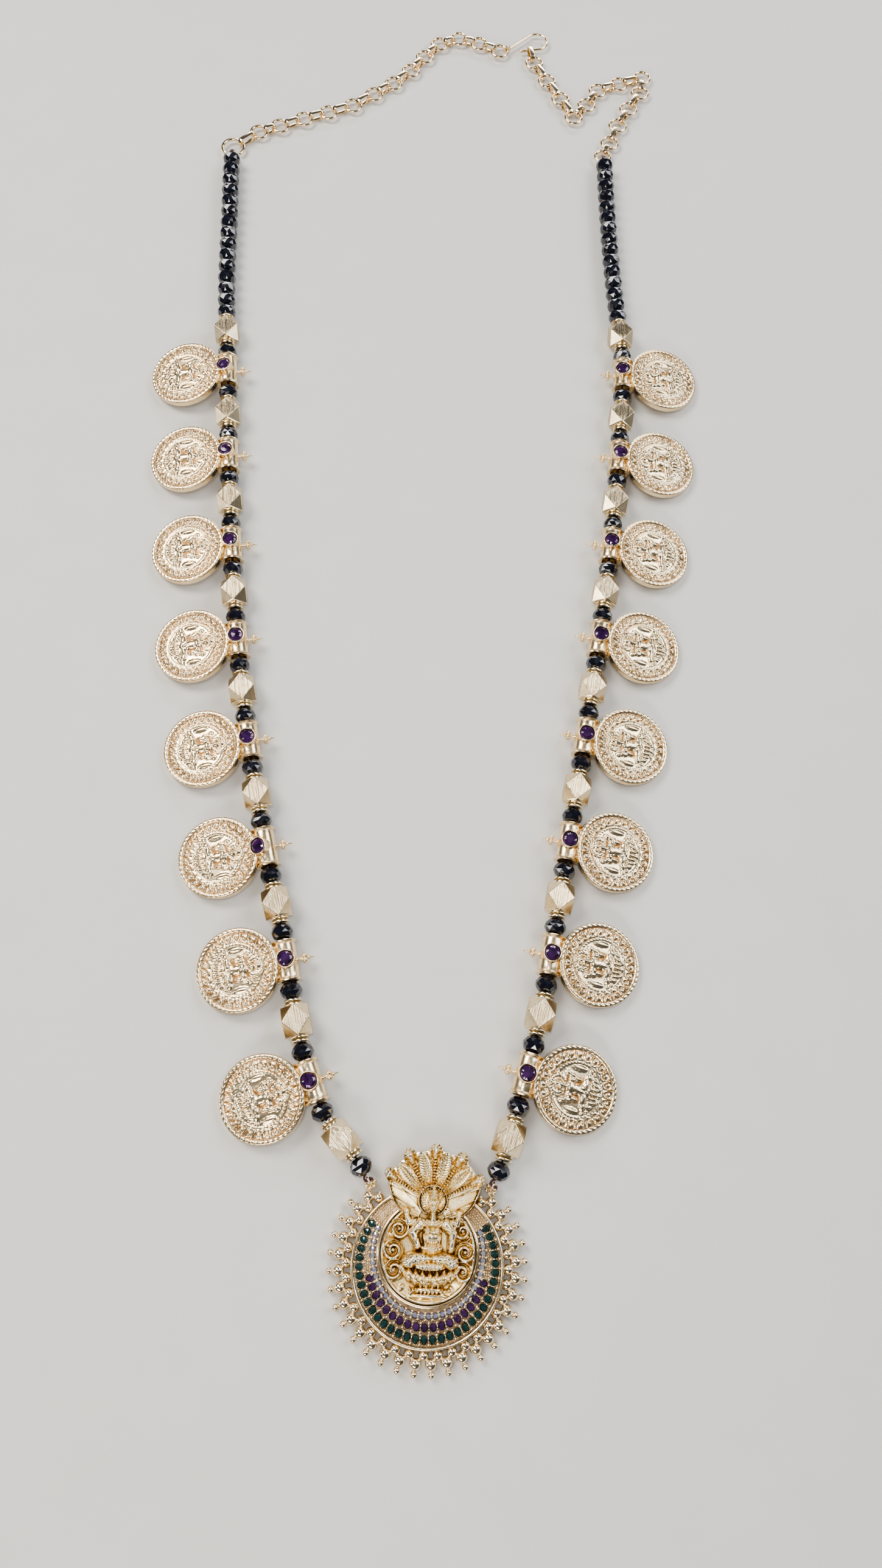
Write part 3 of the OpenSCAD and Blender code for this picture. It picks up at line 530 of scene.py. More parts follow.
def coin(columns=192):
    """Face, side and plain back of a coin as rings from the back's middle over the edge to the face's."""
    radii = np.concatenate([np.linspace(0.25, 5.6, 21), np.linspace(5.73, 6.5, 7), np.linspace(6.62, 8.8, 14),
                            np.linspace(8.88, 9.97, 9)])[::-1]
    a = around(columns)
    x, y = radii[:, None] * np.cos(a), radii[:, None] * np.sin(a)
    h, painted_shade = coin_height(x, y)
    half = coin_t / 2
    face = np.stack([x, y, half + h], -1)
    back = np.array([(3.0, -half + 0.12), (9.2, -half + 0.12), (9.4, -half + 0.02), (9.75, -half + 0.02),
                     (9.96, -half + 0.14), (10.0, 0), (9.99, half - 0.1)])
    low = np.stack([back[:, :1] * np.cos(a), back[:, :1] * np.sin(a), back[:, 1:] + 0 * a], -1)
    ribs = 1 + 0.004 * np.cos(120 * a)
    low[3:, :, :2] *= ribs[None, :, None]
    low[:, :, :2] = np.minimum(1, coin_r / np.linalg.norm(low[:, :, :2], axis=-1))[..., None] * low[:, :, :2]
    rings = np.concatenate([low, face])
    # A slight painted shade on the back and the side.
    shade_amount = np.concatenate([np.full((len(back), columns), 0.15), painted_shade])
    return skin(rings, painted_shade=shade_amount)


grid = np.meshgrid(np.linspace(-coin_r, coin_r, 400), np.linspace(-coin_r, coin_r, 400))
print("coin height is at most", round(float(coin_height(*grid)[0].max()), 2), "mm")

# %% [markdown]
# ## The drops
# A coin hangs from a short tube, which the thread runs through. The tube's ends have
# thin flanges with a beaded wire round them, so that the bead beside it sits square. On
# top is a collar that was rolled from strip and pushed over its stone, and behind is a
# stalk with a cluster of shot, which balances the coin to the eye.

# %% Tube, setting, stalk and coin
tube_r, collet_h, stone_r = 2.6, 4.1, 1.75
along_x = np.array([[0, 0, 1], [0, 1, 0], [-1, 0, 0]], float)
coin_z = coin_r * math.sin(math.radians(coin_tilt)) + coin_t / 2 * math.cos(math.radians(coin_tilt)) - string_z
coin_bite = 0.9
coin_y = tube_r - coin_bite + coin_r * math.cos(math.radians(coin_tilt))
leans = {"left": [12, 8, 0, 0, 0, 26, 0, 5], "right": [-8, 0, -4, 0, 0, 0, 0, 0]}


def twisted_hoop(r, wire_r, count, sides=88, wire_sides=6):
    """A hoop whose wire is twisted: its radius swells as 0.74 + 0.26 |sin| of n turns plus the way round."""
    a, b = around(sides)[:, None], around(wire_sides)
    thick = wire_r * (0.74 + 0.26 * np.abs(np.sin(np.pi * count * a / (2 * np.pi) + b)))
    out = r + thick * np.cos(b)
    rings = np.stack([out * np.cos(a), out * np.sin(a), thick * np.sin(b)], -1)
    return skin(rings[::-1], closed=True)


def tube():
    """The tube as one closed profile turned about its axis: out over both flanges and back through the bore."""
    half, bore = tube_l / 2, tube_r - 0.6
    outer = [(bore, -half), (2.66, -half), (2.72, -half + 0.1), (2.72, -half + 0.42), (2.6, -half + 0.5),
             (2.52, -half + 0.62), (2.5, -half + 0.9), (2.56, -half + 1.2), (2.58, -half + 2), (2.6, -1.2)]
    profile = np.array(outer + [(r, -x) for r, x in outer[::-1]])
    a = around(56)
    rings = np.stack([profile[:, :1] * np.cos(a), profile[:, :1] * np.sin(a), profile[:, 1:] + 0 * a], -1)
    # Painted shade in the crease behind each flange.
    edge = np.clip(1 - np.abs(np.abs(profile[:, 1]) - half + 0.75) / 0.35, 0, 1) * 0.7
    body = skin(rings, closed=True, painted_shade=np.repeat(edge, 56))
    wires = [moved(twisted_hoop(2.78, 0.21, 44), at=(0, 0, x)) for x in (-half + 0.25, half - 0.25)]
    return moved(join([body] + wires), along_x)


def setting(lean):
    """The rolled collar: up the outside, over a rounded lip and down a sloping wall to the pocket's floor."""
    profile = [(2.2, 1.4), (2.2, 2.75), (2.28, 2.9), (2.22, 3.1), (2.2, 3.6), (2.26, 3.85), (2.2, 4.03),
               (2.08, 4.09), (1.94, 4.03), (1.86, 3.85), (1.84, 3.2), (1.84, 3.03), (0.4, 3.03)]
    # Painted shade: dark on the pocket's inner wall and floor under the stone, light under the ring outside.
    shade_amount = [0, 0.3, 0.2, 0.1, 0, 0, 0, 0, 0, 0.3, 0.9, 1, 1]
    return moved(turned(profile, 48, painted_shade=shade_amount), turn("x", -lean))


def stalk():
    """A short post, a collar of four shot with one before it, and a thin spike that ends in a small ball."""
    post = moved(turned([(0.44, -0.3), (0.42, 0.3), (0.36, 0.8), (0.4, 1.5), (0.3, 2.0)], 20), turn("x", 90),
                 (0, -tube_r + 0.2, 0))
    y = -tube_r - 1.7
    quarter = np.radians(45 + 90 * np.arange(4))
    shot = [ball((0.72 * math.cos(q), y, 0.72 * math.sin(q)), 0.66) for q in quarter]
    shot += [ball((0, y - 0.85, 0), 0.5), ball((0, y - 2.1, 0), 0.24, 7, 10), ball((0, y + 0.62, 0), 0.5)]
    spike = moved(turned([(0.3, 0), (0.2, 0.6), (0.12, 1.3), (0.1, 1.5)], 14), turn("x", 90), (0, y - 0.7, 0))
    return join([post, spike] + shot)


base_coin = moved(coin(), turn("x", -coin_tilt), (0, coin_y, coin_z))
base_tube, base_stalk = tube(), stalk()
tabs = join([moved(ball((0, 0, 0), 0.5, 7, 12), np.diag([1.3, 0.9, 0.6]), (x, tube_r - 0.1, coin_z + 1.55))
             for x in (-3.3, 3.3)])


def clear_of_pocket(s, lean, wall=1.95, floor=2.95):
    """The skin pressed down to the pocket's floor wherever it would stand up inside the setting."""
    p = s["points"] @ turn("x", -lean)
    inside = (np.hypot(p[:, 0], p[:, 1]) < wall) & (p[:, 2] > floor)
    p[inside, 2] = floor
    return s | {"points": p @ turn("x", -lean).T}


for side in sides:
    for k, i in enumerate(indices("drop")[::-1]):
        axes, middle = stand(side, i)
        lean = leans[side][k]
        whole = join([clear_of_pocket(base_coin, lean), base_tube, base_stalk, tabs, setting(lean)])
        piece(f"{side}_coin_drop_{k + 1}", moved(whole, axes, middle), coin_gold,
              [f"{side}_drop_{k + 1}"], sharp=50)
print("a drop has", made["left_coin_drop_1"], "triangles")

# %% [markdown]
# ## Beads
# The gold beads are blocks whose eight corners were cut back to the middle of each edge.
# That leaves a rhombus on each side, brushed along the string, and eight polished
# triangles. Between the coins they are the only large plain surfaces, so the change
# between brushed and polished is what catches the light. The dark beads are pressed
# glass, ground with rows of small flat facets.

# %% Gold beads and dark cut beads
block_half = gold_l / 2


def block(w=3.2, half=block_half, chamfer=0.13, grooves=9):
    """A block along x. At t = |x| / half its section is an octagon: flats on |y| = w and |z| = w that reach
    w(1 - t) to each side, joined by the cut corners |y| + |z| = w(2 - t). Edges are chamfered."""
    t = np.concatenate([np.linspace(0.01, 0.97, 17), [1.0]])
    x = np.concatenate([-half * t[::-1], half * t])
    t = np.abs(x) / half
    reach = w * (1 - t)
    flat = np.maximum(reach - chamfer, reach * 0.25 + 0.01)
    lines = np.linspace(-1, 1, 2 * grooves + 1)
    groove = 0.035 * (np.arange(len(lines)) % 2)
    fade = np.clip(reach / 0.6, 0, 1)[:, None]
    inset = np.clip((reach[:, None] - np.abs(lines) * flat[:, None]) / 0.8, 0, 1) * fade
    across = flat[:, None] * lines
    out = w - groove * inset
    corner = np.stack([w - 0.45 * np.minimum(chamfer, w - reach + 0.02), reach + 0.45 * chamfer], -1)
    corner = np.minimum(corner, w)
    run = np.concatenate([across, corner[:, 1:]], 1)
    rise = np.concatenate([out, corner[:, :1]], 1)
    run = np.concatenate([-corner[:, 1:], run], 1)
    rise = np.concatenate([corner[:, :1], rise], 1)
    quarter = []
    for k in range(4):
        c, s = round(math.cos(k * math.pi / 2)), round(math.sin(k * math.pi / 2))
        quarter.append(np.stack([0 * run + x[:, None], rise * c - run * s, rise * s + run * c], -1))
    s = skin(np.concatenate(quarter, 1))
    wide = run.shape[1]
    index = np.minimum(s["faces"], 4 * run.size - 1)
    s["corner"] = np.stack([run[index // (4 * wide), index % wide], x[index // (4 * wide)]], -1)
    s["corner"][np.ptp(index % wide, axis=1) > 1] = 0
    return s


def collar():
    """Two rounded rings with a groove between, at the end of a gold bead, and the bore in its middle."""
    profile = [(1.4, -0.15), (1.85, -0.1), (2.08, 0.0), (2.15, 0.22), (2.08, 0.45), (1.78, 0.56), (1.74, 0.72),
               (1.8, 0.84), (2.08, 0.92), (2.15, 1.12), (2.06, 1.36), (1.85, 1.46), (1.3, 1.48), (0.75, 1.44),
               (0.62, 1.3), (0.6, 0.3)]
    # Painted shade: dark in the groove between the rings and in the bore.
    shade_amount = [0.6, 0.4, 0, 0, 0.1, 0.8, 1, 0.8, 0.1, 0, 0, 0.1, 0.2, 0.5, 0.9, 1]
    return turned(profile, 40, painted_shade=shade_amount)


bead_block = block()
low, high = bead_block["points"].min(0), bead_block["points"].max(0)
collars = join([moved(collar(), along_x, (block_half, 0, 0)),
                moved(collar(), np.diag([-1, 1, -1]) @ along_x, (-block_half, 0, 0))])
for side in sides:
    for k, i in enumerate(indices("gold")[::-1]):
        axes, middle = stand(side, i)
        piece(f"{side}_gold_block_{k + 1}", moved(bead_block, axes, middle), brushed_gold,
              [f"{side}_gold_bead_{k + 1}"], sharp=22)
        piece(f"{side}_gold_collars_{k + 1}", moved(collars, axes, middle), bead_gold)
print("block spans", np.round(low, 2), np.round(high, 2))


def facets(rows, count):
    """Rings of points [place, radius, turn in steps] round x, joined in flat triangles and closed."""
    p = np.asarray(rows, float)
    a = (np.arange(count) + p[:, 2:]) * 2 * np.pi / count
    points = np.stack([p[:, :1] + 0 * a, p[:, 1:2] * np.cos(a), p[:, 1:2] * np.sin(a)], -1).reshape(-1, 3)
    k, faces = np.arange(count), []
    after = (k + 1) % count
    for j in range(len(p) - 1):
        low, high = j * count, (j + 1) * count
        if p[j + 1, 2] > p[j, 2]:
            pairs = [(k + low, after + low, k + high), (after + low, after + high, k + high)]
        else:
            pairs = [(k + low, after + low, after + high), (k + low, after + high, k + high)]
        faces += [np.stack(three, -1) for three in pairs]
    n = len(points)
    faces += [np.stack([np.full(count, n), after, k], -1),
              np.stack([np.full(count, n + 1), k + (len(p) - 1) * count, after + (len(p) - 1) * count], -1)]
    points = np.concatenate([points, [[p[0, 0] + 0.1, 0, 0], [p[-1, 0] - 0.1, 0, 0]]])
    faces = np.concatenate(faces)
    faces = np.concatenate([faces, np.full((len(faces), 1), -1)], 1)
    return outward({"points": points, "faces": faces, "corner": np.zeros((len(faces), 4, 2)),
                    "painted_shade": np.zeros(len(points)), "smooth": np.zeros(len(faces), bool)})


def stone_material(name, colour, light, rough=0.05, silvered=0.0):
    """Glass or stone: a dark body with a lighter cloud in it, under a clear polish, silvered behind or not."""
    m, tree, shader, coords = start_material(name)
    cloud = noise(tree, coords.outputs["Object"], 700, 3)
    fine = noise(tree, coords.outputs["Object"], 3000, 2)
    tree.links.new(mixed(tree, ramp(tree, cloud, [(0.3, (0.0,)), (0.75, (1.0,))]), colour, light),
                   shader.inputs["Base Color"])
    tree.links.new(maths(tree, "ADD", maths(tree, "MULTIPLY", fine, 0.1), rough), shader.inputs["Roughness"])
    shader.inputs["IOR"].default_value = 1.7
    shader.inputs["Metallic"].default_value = silvered
    shader.inputs["Coat Weight"].default_value = 0.6
    shader.inputs["Coat Roughness"].default_value = 0.04
    bumped(tree, shader, fine, 0.000006)
    return m


dark_glass = stone_material("dark_bead", (0.003, 0.003, 0.006), (0.008, 0.009, 0.022))
purple = stone_material("purple_stone", (0.014, 0.003, 0.024), (0.09, 0.02, 0.14), 0.02, 0.25)
green = stone_material("green_stone", (0.001, 0.014, 0.014), (0.004, 0.065, 0.06), 0.02, 0.25)
pale_stone = stone_material("pale_stone", (0.55, 0.58, 0.85), (0.95, 0.96, 1.0), 0.01, 0.9)
bead_rows = [(-1.95, 1.3, 0.5), (-1.25, 2.18, 0), (-0.36, 2.6, 0.5), (0.36, 2.6, 0), (1.25, 2.18, 0.5),
             (1.95, 1.3, 0)]
rondelle = facets(bead_rows, 10)
for kind, name, target in (("rondelle", "cut_beads", "dark_beads"), ("strand", "cut_strand", "strand")):
    for side in sides:
        beads = []
        for i in indices(kind):
            axes, middle = stand(side, i)
            beads.append(moved(rondelle, axes @ turn("x", 13 * (i % 5)), middle))
        piece(f"{side}_{name}", join(beads), dark_glass, [f"{side}_{target}"])


def cut_stone(rx, ry, h, count=16):
    """A faceted stone, its table up: pavilion, girdle, two rows of crown facets and the table."""
    rows = [(0, 0.5, 0), (0.4, 0.98, 0.5), (0.52, 1, 0), (0.72, 0.9, 0.5), (0.95, 0.62, 0)]
    s = facets(rows, count)
    p = s["points"][:, [1, 2, 0]].copy()
    p[-2:, 2] = [0, 0.95]
    p = p * [rx, ry, h]
    p[-1, 2] = 0.97 * h
    return s | {"points": p}


for side in sides:
    stones = []
    for k, i in enumerate(indices("drop")[::-1]):
        axes, middle = stand(side, i)
        lift = moved(cut_stone(stone_r, stone_r, 1.12), turn("x", -leans[side][k]),
                     turn("x", -leans[side][k]) @ [0, 0, collet_h - 0.99])
        stones.append(moved(lift, axes, middle))
    piece(f"{side}_set_stones", join(stones), purple, [f"{side}_drop_stones"])
print("beads and set stones made")

# %% [markdown]
# ## The medallion
# The middle of the pendant is one casting in high relief: a seated goddess on a lotus,
# three scrolls at each side, and over her a hood of five serpents whose necks spread
# from behind the halo. The height is again the highest of many simple forms, over a grid
# of rays from her throat, so that the rays run along the necks. The hollow next to each
# form is worked out from the heights around it, and that is where shade is painted in
# a dark brown, while the highest places get a painted highlight of paler metal.

# %% Forms of the relief
medallion_r, medallion_up = 10.4, 2.7
throat = np.array([0.5, 9.0])
fan_middle, head_step, relief_h = 88.3, 23.6, 3.8
medallion_low = 1.45
medallion_ground = medallion_low + 0.8
hood_reaches = ([0, 24, 40, 48, 54, 58, 62, 66, 70, 75, 78, 180],
                [15, 14.9, 14, 13.5, 12.8, 11.7, 10.7, 9.9, 8.8, 7.4, 5.5, 4])
fan_at, fan_step, head_at = np.array([0.45, 12.6]), 30.3, 11.55


def to_head(f, step=head_step):
    """Angle from the nearest of the five serpents."""
    return f - step * np.clip(np.round(f / step), -2, 2)


def fan_reach(f):
    """Distance from the throat to the hood's edge at an angle, with a swelling at each head."""
    return np.interp(np.abs(f), *hood_reaches) + 1.5 * ridge(to_head(f), 5.6)


def disc_reach(a):
    """Distance from the throat to the round edge along an angle: sqrt(b^2 - |d|^2 + r^2) - b."""
    d = throat - [0, medallion_up]
    b = d[0] * np.cos(a) + d[1] * np.sin(a)
    return np.sqrt(b * b - d @ d + medallion_r ** 2) - b


def turned_angle(x, y, at, middle):
    """Distance from a point, and angle round it from a middle direction, from -180 to 180 degrees."""
    v, w = x - at[0], y - at[1]
    return np.hypot(v, w), (np.degrees(np.arctan2(w, v)) - middle + 180) % 360 - 180


def limb(x, y, a, b, ra, rb, h):
    """A rounded limb from a to b: h sqrt(1 - (d / r)^2), with r going from ra to rb along it."""
    a, b = np.array(a, float), np.array(b, float)
    way = b - a
    t = np.clip(((x - a[0]) * way[0] + (y - a[1]) * way[1]) / (way @ way), 0, 1)
    d = np.hypot(x - a[0] - t * way[0], y - a[1] - t * way[1])
    return h * ridge(d, ra + (rb - ra) * t)


def cavity(h, step=3):
    """How far each point lies under the mean of its neighbours a few cells away on the grid."""
    rows = np.arange(len(h))
    shifts = (-step, 0, step)
    near = [np.roll(h[np.clip(rows + i, 0, len(h) - 1)], j, 1) for i in shifts for j in shifts]
    return np.mean(near, 0) - h


def hood(x, y, edge):
    """Five serpents whose ribbed necks spread from behind the halo, a lobe with a vein between each two
    and a hollow wing with a raised rim below the outer ones."""
    r, f = turned_angle(x, y, throat, fan_middle)
    rho, phi = turned_angle(x, y, fan_at, 88.6)
    d = to_head(phi, fan_step)
    across, out = rho * np.sin(np.radians(d)), rho * np.cos(np.radians(d))
    fan = (np.abs(phi) < 70) & (np.abs(d) < 60)
    ribs = 0.5 + 0.5 * np.abs(np.sin(np.pi * (out / 0.62 + 0.16 * across ** 2))) ** 0.7
    neck_half = 0.42 + 0.03 * out
    neck = (1.75 + 0.1 * out) * ridge(across, neck_half) * ribs
    neck = np.where(fan & (out > 2.2) & (out < head_at - 0.6), neck, 0)
    lines = np.where(fan & (out > 2.6) & (out < head_at - 1.2),
                     1.9 * ridge(np.abs(across) - neck_half - 0.3, 0.15), 0)
    lobe_d = np.radians(np.abs(d) - fan_step / 2)
    lobe_u, lobe_v = np.abs(rho * np.sin(lobe_d)), rho * np.cos(lobe_d)
    run = np.clip((lobe_v - 2.6) / 8.9, 0, 1)
    half = 0.05 + 1.32 * np.sin(np.pi * run ** 1.5) ** 0.62
    in_lobe = (np.abs(phi) < 2 * fan_step) & (lobe_u < half + 0.25) & (lobe_v > 2.6) & (lobe_v < 11.6)
    hollow = 1.3 + 0.45 * np.clip(lobe_u / half, 0, 1) ** 2 + 0.35 * run
    strokes = 0.12 * np.abs(np.sin(np.pi * (lobe_v / 0.55 - lobe_u / 0.9)))
    lobe = np.maximum((hollow + strokes) * (lobe_u < half), 2.45 * ridge(lobe_u - half, 0.2))
    vein = 2.2 * ridge(lobe_u, 0.13) * (lobe_v > 4.2) * (lobe_v < 10.6)
    lobe = np.where(in_lobe, np.maximum(lobe, vein), 0)
    head_v = out - head_at
    head = 2.95 * ridge(np.hypot(across, head_v), 1.4)
    head = np.maximum(head, 2.7 * ridge(np.hypot(across, head_v + 1.25), 0.95))
    knobs = np.zeros_like(x)
    for turn_k in (-100, -60, -20, 20, 60, 100):
        kx, kv = 1.22 * math.sin(math.radians(turn_k)), 1.22 * math.cos(math.radians(turn_k))
        knobs = np.maximum(knobs, 3.2 * ridge(np.hypot(across - kx, head_v - kv), 0.46))
    eyes = 0.5 * bump(np.hypot(np.abs(across) - 0.55, head_v + 0.15), 0.25)
    snout = 0.5 * bump(np.hypot(across, head_v + 1.3), 0.4)
    gape = 0.6 * bump(np.hypot(1.6 * across, head_v - 0.45), 0.3)
    head = np.where(head > 0, head + eyes + snout - gape, 0)
    head = np.where(fan & (head_v > -2.3), np.maximum(head, knobs), 0)
    af = np.abs(f)
    rim = np.where(af > 51, 2.5, 1.4) * ridge(r - edge + 0.42, 0.42) * (af < 77)
    rim = np.maximum(rim, 2.0 * ridge(r - edge + 1.15, 0.16) * (af > 52) * (af < 73) * (r > 3))
    leaf = 2.3 * ridge(r * np.sin(np.radians(af - 60.5)), 0.2) * (r > 3.6) * (r < edge - 0.6)
    wing = np.where((af >= 48) & (af < 76) & (r > 3), 1.0 + 0.8 * ((af - 67) / 12) ** 2 * (af > 60), 0)
    fine = 0.1 * np.abs(np.sin(np.radians(af) * 46)) * (af > 61) * (af < 74) * (r > 4)
    floor = np.where(fan & (rho > 2.6), 1.55, 0)
    return np.maximum.reduce([neck, lines, lobe, head, rim, leaf, wing + fine, floor])


def spiral(x, y, cx, cy, way, start):
    """A scroll whose ridge winds out of a round eye: its radius grows by 1.2 with each turn."""
    r = np.hypot(x - cx, y - cy)
    turns = way * np.arctan2(y - cy, x - cx) / (2 * np.pi) + start
    phase = r / 1.2 - turns
    d = (phase - np.round(phase)) * 1.2
    line = 1.7 * ridge(d, 0.36) * np.clip((2.5 - r) / 0.4, 0, 1)
    hollow = 0.35 * np.abs(d) / 0.6
    line = np.maximum(np.where(r > 0.5, line, 0), 1.7 * ridge(r, 0.5))
    return np.where(r < 2.5, line + hollow * (r < 2.3), 0)


body_parts = [
    (0.6, 8.7, 4.3, 1.25, 2.5), (-0.35, 7.15, 1.05, 1.05, 3.1), (1.75, 7.15, 1.05, 1.05, 3.1),
    (0.7, 5.9, 2.2, 2.6, 2.5), (0.7, 3.6, 2.6, 1.6, 2.5), (-2.0, 1.5, 3.7, 1.5, 2.9),
    (3.2, 1.5, 3.7, 1.5, 2.9), (-4.1, 0.9, 1.75, 1.5, 3.2), (5.1, 0.9, 1.75, 1.5, 3.2),
    (0.5, 0.1, 3.6, 1.05, 3.05), (0.5, -5.9, 4.7, 0.6, 1.1), (0.5, -4.6, 4.0, 0.55, 1.5)]
scrolls = [(-6.5, 7.3, 1, 0.6), (-7.6, 3.0, -1, 0.1), (-7.2, -0.9, -1, 0.1), (7.3, 7.4, -1, 0.9),
           (8.0, 3.1, 1, 0.6), (7.6, -0.9, 1, 0.6)]
middle_x = 0.75
lotus_rows = [(9, -2.5, 2.0, 0.72, 2.0, 7.0), (8, -3.1, 2.5, 0.62, 1.5, 6.5)]


def goddess(x, y):
    """The seated figure, her halo, her four arms, the lotus and the base."""
    parts = [dome(x, y, *p) for p in body_parts]
    arms = [((-2.0, 8.6), (-3.5, 6.7), 1.45, 1.2, 2.8), ((-3.5, 6.7), (-2.5, 4.6), 1.2, 0.85, 2.9),
            ((3.6, 8.6), (5.2, 6.8), 1.45, 1.2, 2.8), ((5.2, 6.8), (4.9, 4.1), 1.2, 0.85, 2.8),
            ((-2.4, 8.9), (-4.5, 8.7), 1.1, 0.95, 1.9), ((-4.5, 8.7), (-5.0, 10.3), 0.95, 0.75, 2.0),
            ((4.0, 8.9), (6.0, 8.7), 1.1, 0.95, 1.9), ((6.0, 8.7), (6.4, 10.3), 0.95, 0.75, 2.0)]
    parts += [limb(x, y, *a) for a in arms]
    hands = [(-2.4, 4.2, 0.9, 1.05, 3.0), (4.9, 3.7, 0.9, 1.05, 2.9)]
    buds = [(-5.1, 11.0, 0.95, 1.0, 2.3), (6.5, 11.0, 0.95, 1.0, 2.3)]
    parts += [dome(x, y, *p) for p in hands + buds]
    body = np.maximum.reduce(parts)
    solid = body > 0.8
    ax = np.abs(x - middle_x)
    neck = np.hypot(x - middle_x, y - 10.6)
    around_neck = np.arctan2(x - middle_x, 10.6 - y)
    chains = 0.42 * np.abs(np.sin(np.pi * (neck - 1.3) / 0.66)) * (neck > 1.4) * (neck < 4.1) * (y < 10)
    chains *= np.clip(1.5 - ax / 2.4, 0, 1) * (0.55 + 0.45 * np.abs(np.sin(13 * around_neck)))
    garland = 0.4 * ridge(np.hypot(ax / 2.2, (y - 8.4) / 5.4) - 1, 0.1) * (y < 8) * (y > 3.2)
    legs = (y < 3.1) & (y > -1.1) & solid
    from_lap = np.arctan2(x - middle_x, y + 6.5)
    pleats = 0.42 * np.abs(np.sin(24 * from_lap)) * np.clip((3.0 - y) / 1.2, 0.25, 1)
    hem = 0.35 * ridge(y + 0.75 - 0.03 * ax * ax, 0.22) * (ax < 5)
    studs = 0.5 + 0.5 * np.abs(np.sin(8 * (x - middle_x)))
    belt = 0.5 * ridge(y - 3.5 - 0.06 * ax * ax, 0.36) * (ax < 2.5) * studs
    sash = 0.3 * np.abs(np.sin(7 * (x - middle_x))) * (y < 5.4) * (y > 3.8) * (ax < 1.8)
    places = [(-2.9, 5.5), (5.0, 5.2), (-2.9, 7.5), (4.6, 7.5), (-4.9, 9.8), (6.3, 9.8)]
    bangles = sum(0.35 * ridge(y - by, 0.24) * (np.abs(x - bx) < 1.3) for bx, by in places)
    body = np.where(solid, body + chains + pleats * legs + hem * legs + belt + sash + bangles + garland, body)
    lotus = np.zeros_like(x)
    for count, cy, high, wide, tall, lean in lotus_rows:
        for k in range(count):
            px = middle_x - 0.2 + (k - (count - 1) / 2) * 1.38
            py = cy + 0.05 * (px - 0.5) ** 2
            petal = dome(x, y, px, py, wide, tall, high, -lean * (px - 0.5) * 0.9)
            crease = 0.2 * ridge(x - px - 0.1 * (px - 0.5) * (y - py), 0.12) * (petal > 1.1)
            lotus = np.maximum(lotus, petal + crease)
    base = np.hypot((x - 0.1) % 0.84 - 0.42, y + 5.1 - 0.03 * (x - 0.5) ** 2)
    base = 1.9 * ridge(base, 0.42) * (np.abs(x - 0.5) < 4.4)
    hx, hy = (x - 0.55) / 3.05, (y - 13.4) / 3.1
    halo = np.hypot(hx, hy)
    turns = np.arctan2(hx, hy) / (2 * np.pi)
    pearl = np.hypot((halo - 1.0) * 3.1, ((turns * 38) % 1 - 0.5) * 0.52)
    ring = np.maximum(3.0 * ridge(pearl, 0.3), 2.6 * ridge(halo - 0.87, 0.04))
    ring = np.maximum(ring, 2.4 * ridge(halo - 1.0, 0.11)) * (y > 10.6)
    rays = np.abs(np.sin(30 * np.pi * turns))
    plate = np.where((halo < 0.95) & (y > 10.2), 1.6 + 0.2 * rays * (halo > 0.55) * (halo < 0.83), 0)
    face = dome(x, y, middle_x, 12.05, 1.28, 1.62, 3.55)
    fx = np.abs(x - middle_x)
    nose = 0.25 * bump(np.hypot(1.5 * fx, 0.6 * (y - 12.0)), 0.24) * (y < 12.5)
    eyes = 0.16 * bump(np.hypot(0.8 * (fx - 0.5), 1.9 * (y - 12.42)), 0.2)
    eyes = eyes - 0.16 * bump(np.hypot(fx - 0.5, 1.2 * (y - 12.42)), 0.36)
    lips = 0.16 * bump(np.hypot(0.7 * fx, 1.8 * (y - 11.2)), 0.2)
    brow = 0.14 * bump(y - 12.86 + 0.22 * fx, 0.1) * (fx < 0.95)
    face = np.where(face > 1.5, face + nose + eyes + lips + brow, face)
    hair = dome(x, y, middle_x, 12.9, 1.65, 1.5, 3.1)
    hair = np.where((hair > 1) & (y > 13.1), hair + 0.2 * np.abs(np.sin(7 * (x - middle_x))), hair)
    crown = np.maximum(dome(x, y, middle_x, 14.5, 1.3, 1.7, 3.45), dome(x, y, middle_x, 15.9, 0.75, 1.1, 3.3))
    tiers = 0.32 * np.abs(np.sin(np.pi * (y - 13.4) / 0.8)) * (y > 13.3)
    gems = 0.3 * ridge(np.hypot((x - middle_x + 0.35) % 0.7 - 0.35, (y - 13.4) % 0.8 - 0.4), 0.24) * (y > 13.4)
    crown = np.where((crown > 1) & (y > 13.2), crown + tiers + gems - 0.3, crown * (y > 13))
    ears = 2.9 * ridge(np.hypot(fx - 1.5, 0.9 * (y - 11.7)), 0.42)
    ears = np.maximum(ears, 2.7 * ridge(np.hypot(fx - 1.62, y - 10.8), 0.36))
    throat_part = limb(x, y, (middle_x, 11.0), (middle_x, 9.3), 0.75, 0.95, 2.9)
    return np.maximum.reduce([body, lotus, base, ring, plate, face, hair, crown, ears, throat_part])


def medallion_height(x, y, edge):
    """The highest of the dish, the border of leaves, the scrolls, the figure and the hood."""
    side_forms = np.maximum.reduce([spiral(x, y, *s) for s in scrolls])
    centre, turn_c = turned_angle(x, y, (0, medallion_up), 0)
    border = 1.2 * ridge(centre - medallion_r + 0.4, 0.4) * (y < 12)
    leaf = np.hypot((centre - 8.9) / 0.95, ((turn_c % 15) - 7.5) / 15 * 2 * np.pi * 8.9 / 24 * 2.1)
    leaves = 0.85 * ridge(leaf, 1) * (y < 8.8)
    dish = 0.5 * np.clip(centre / medallion_r, 0, 1) ** 3
    h = np.maximum.reduce([dish, side_forms, border, leaves, goddess(x, y), hood(x, y, edge)])
    return np.clip(h, 0, relief_h)


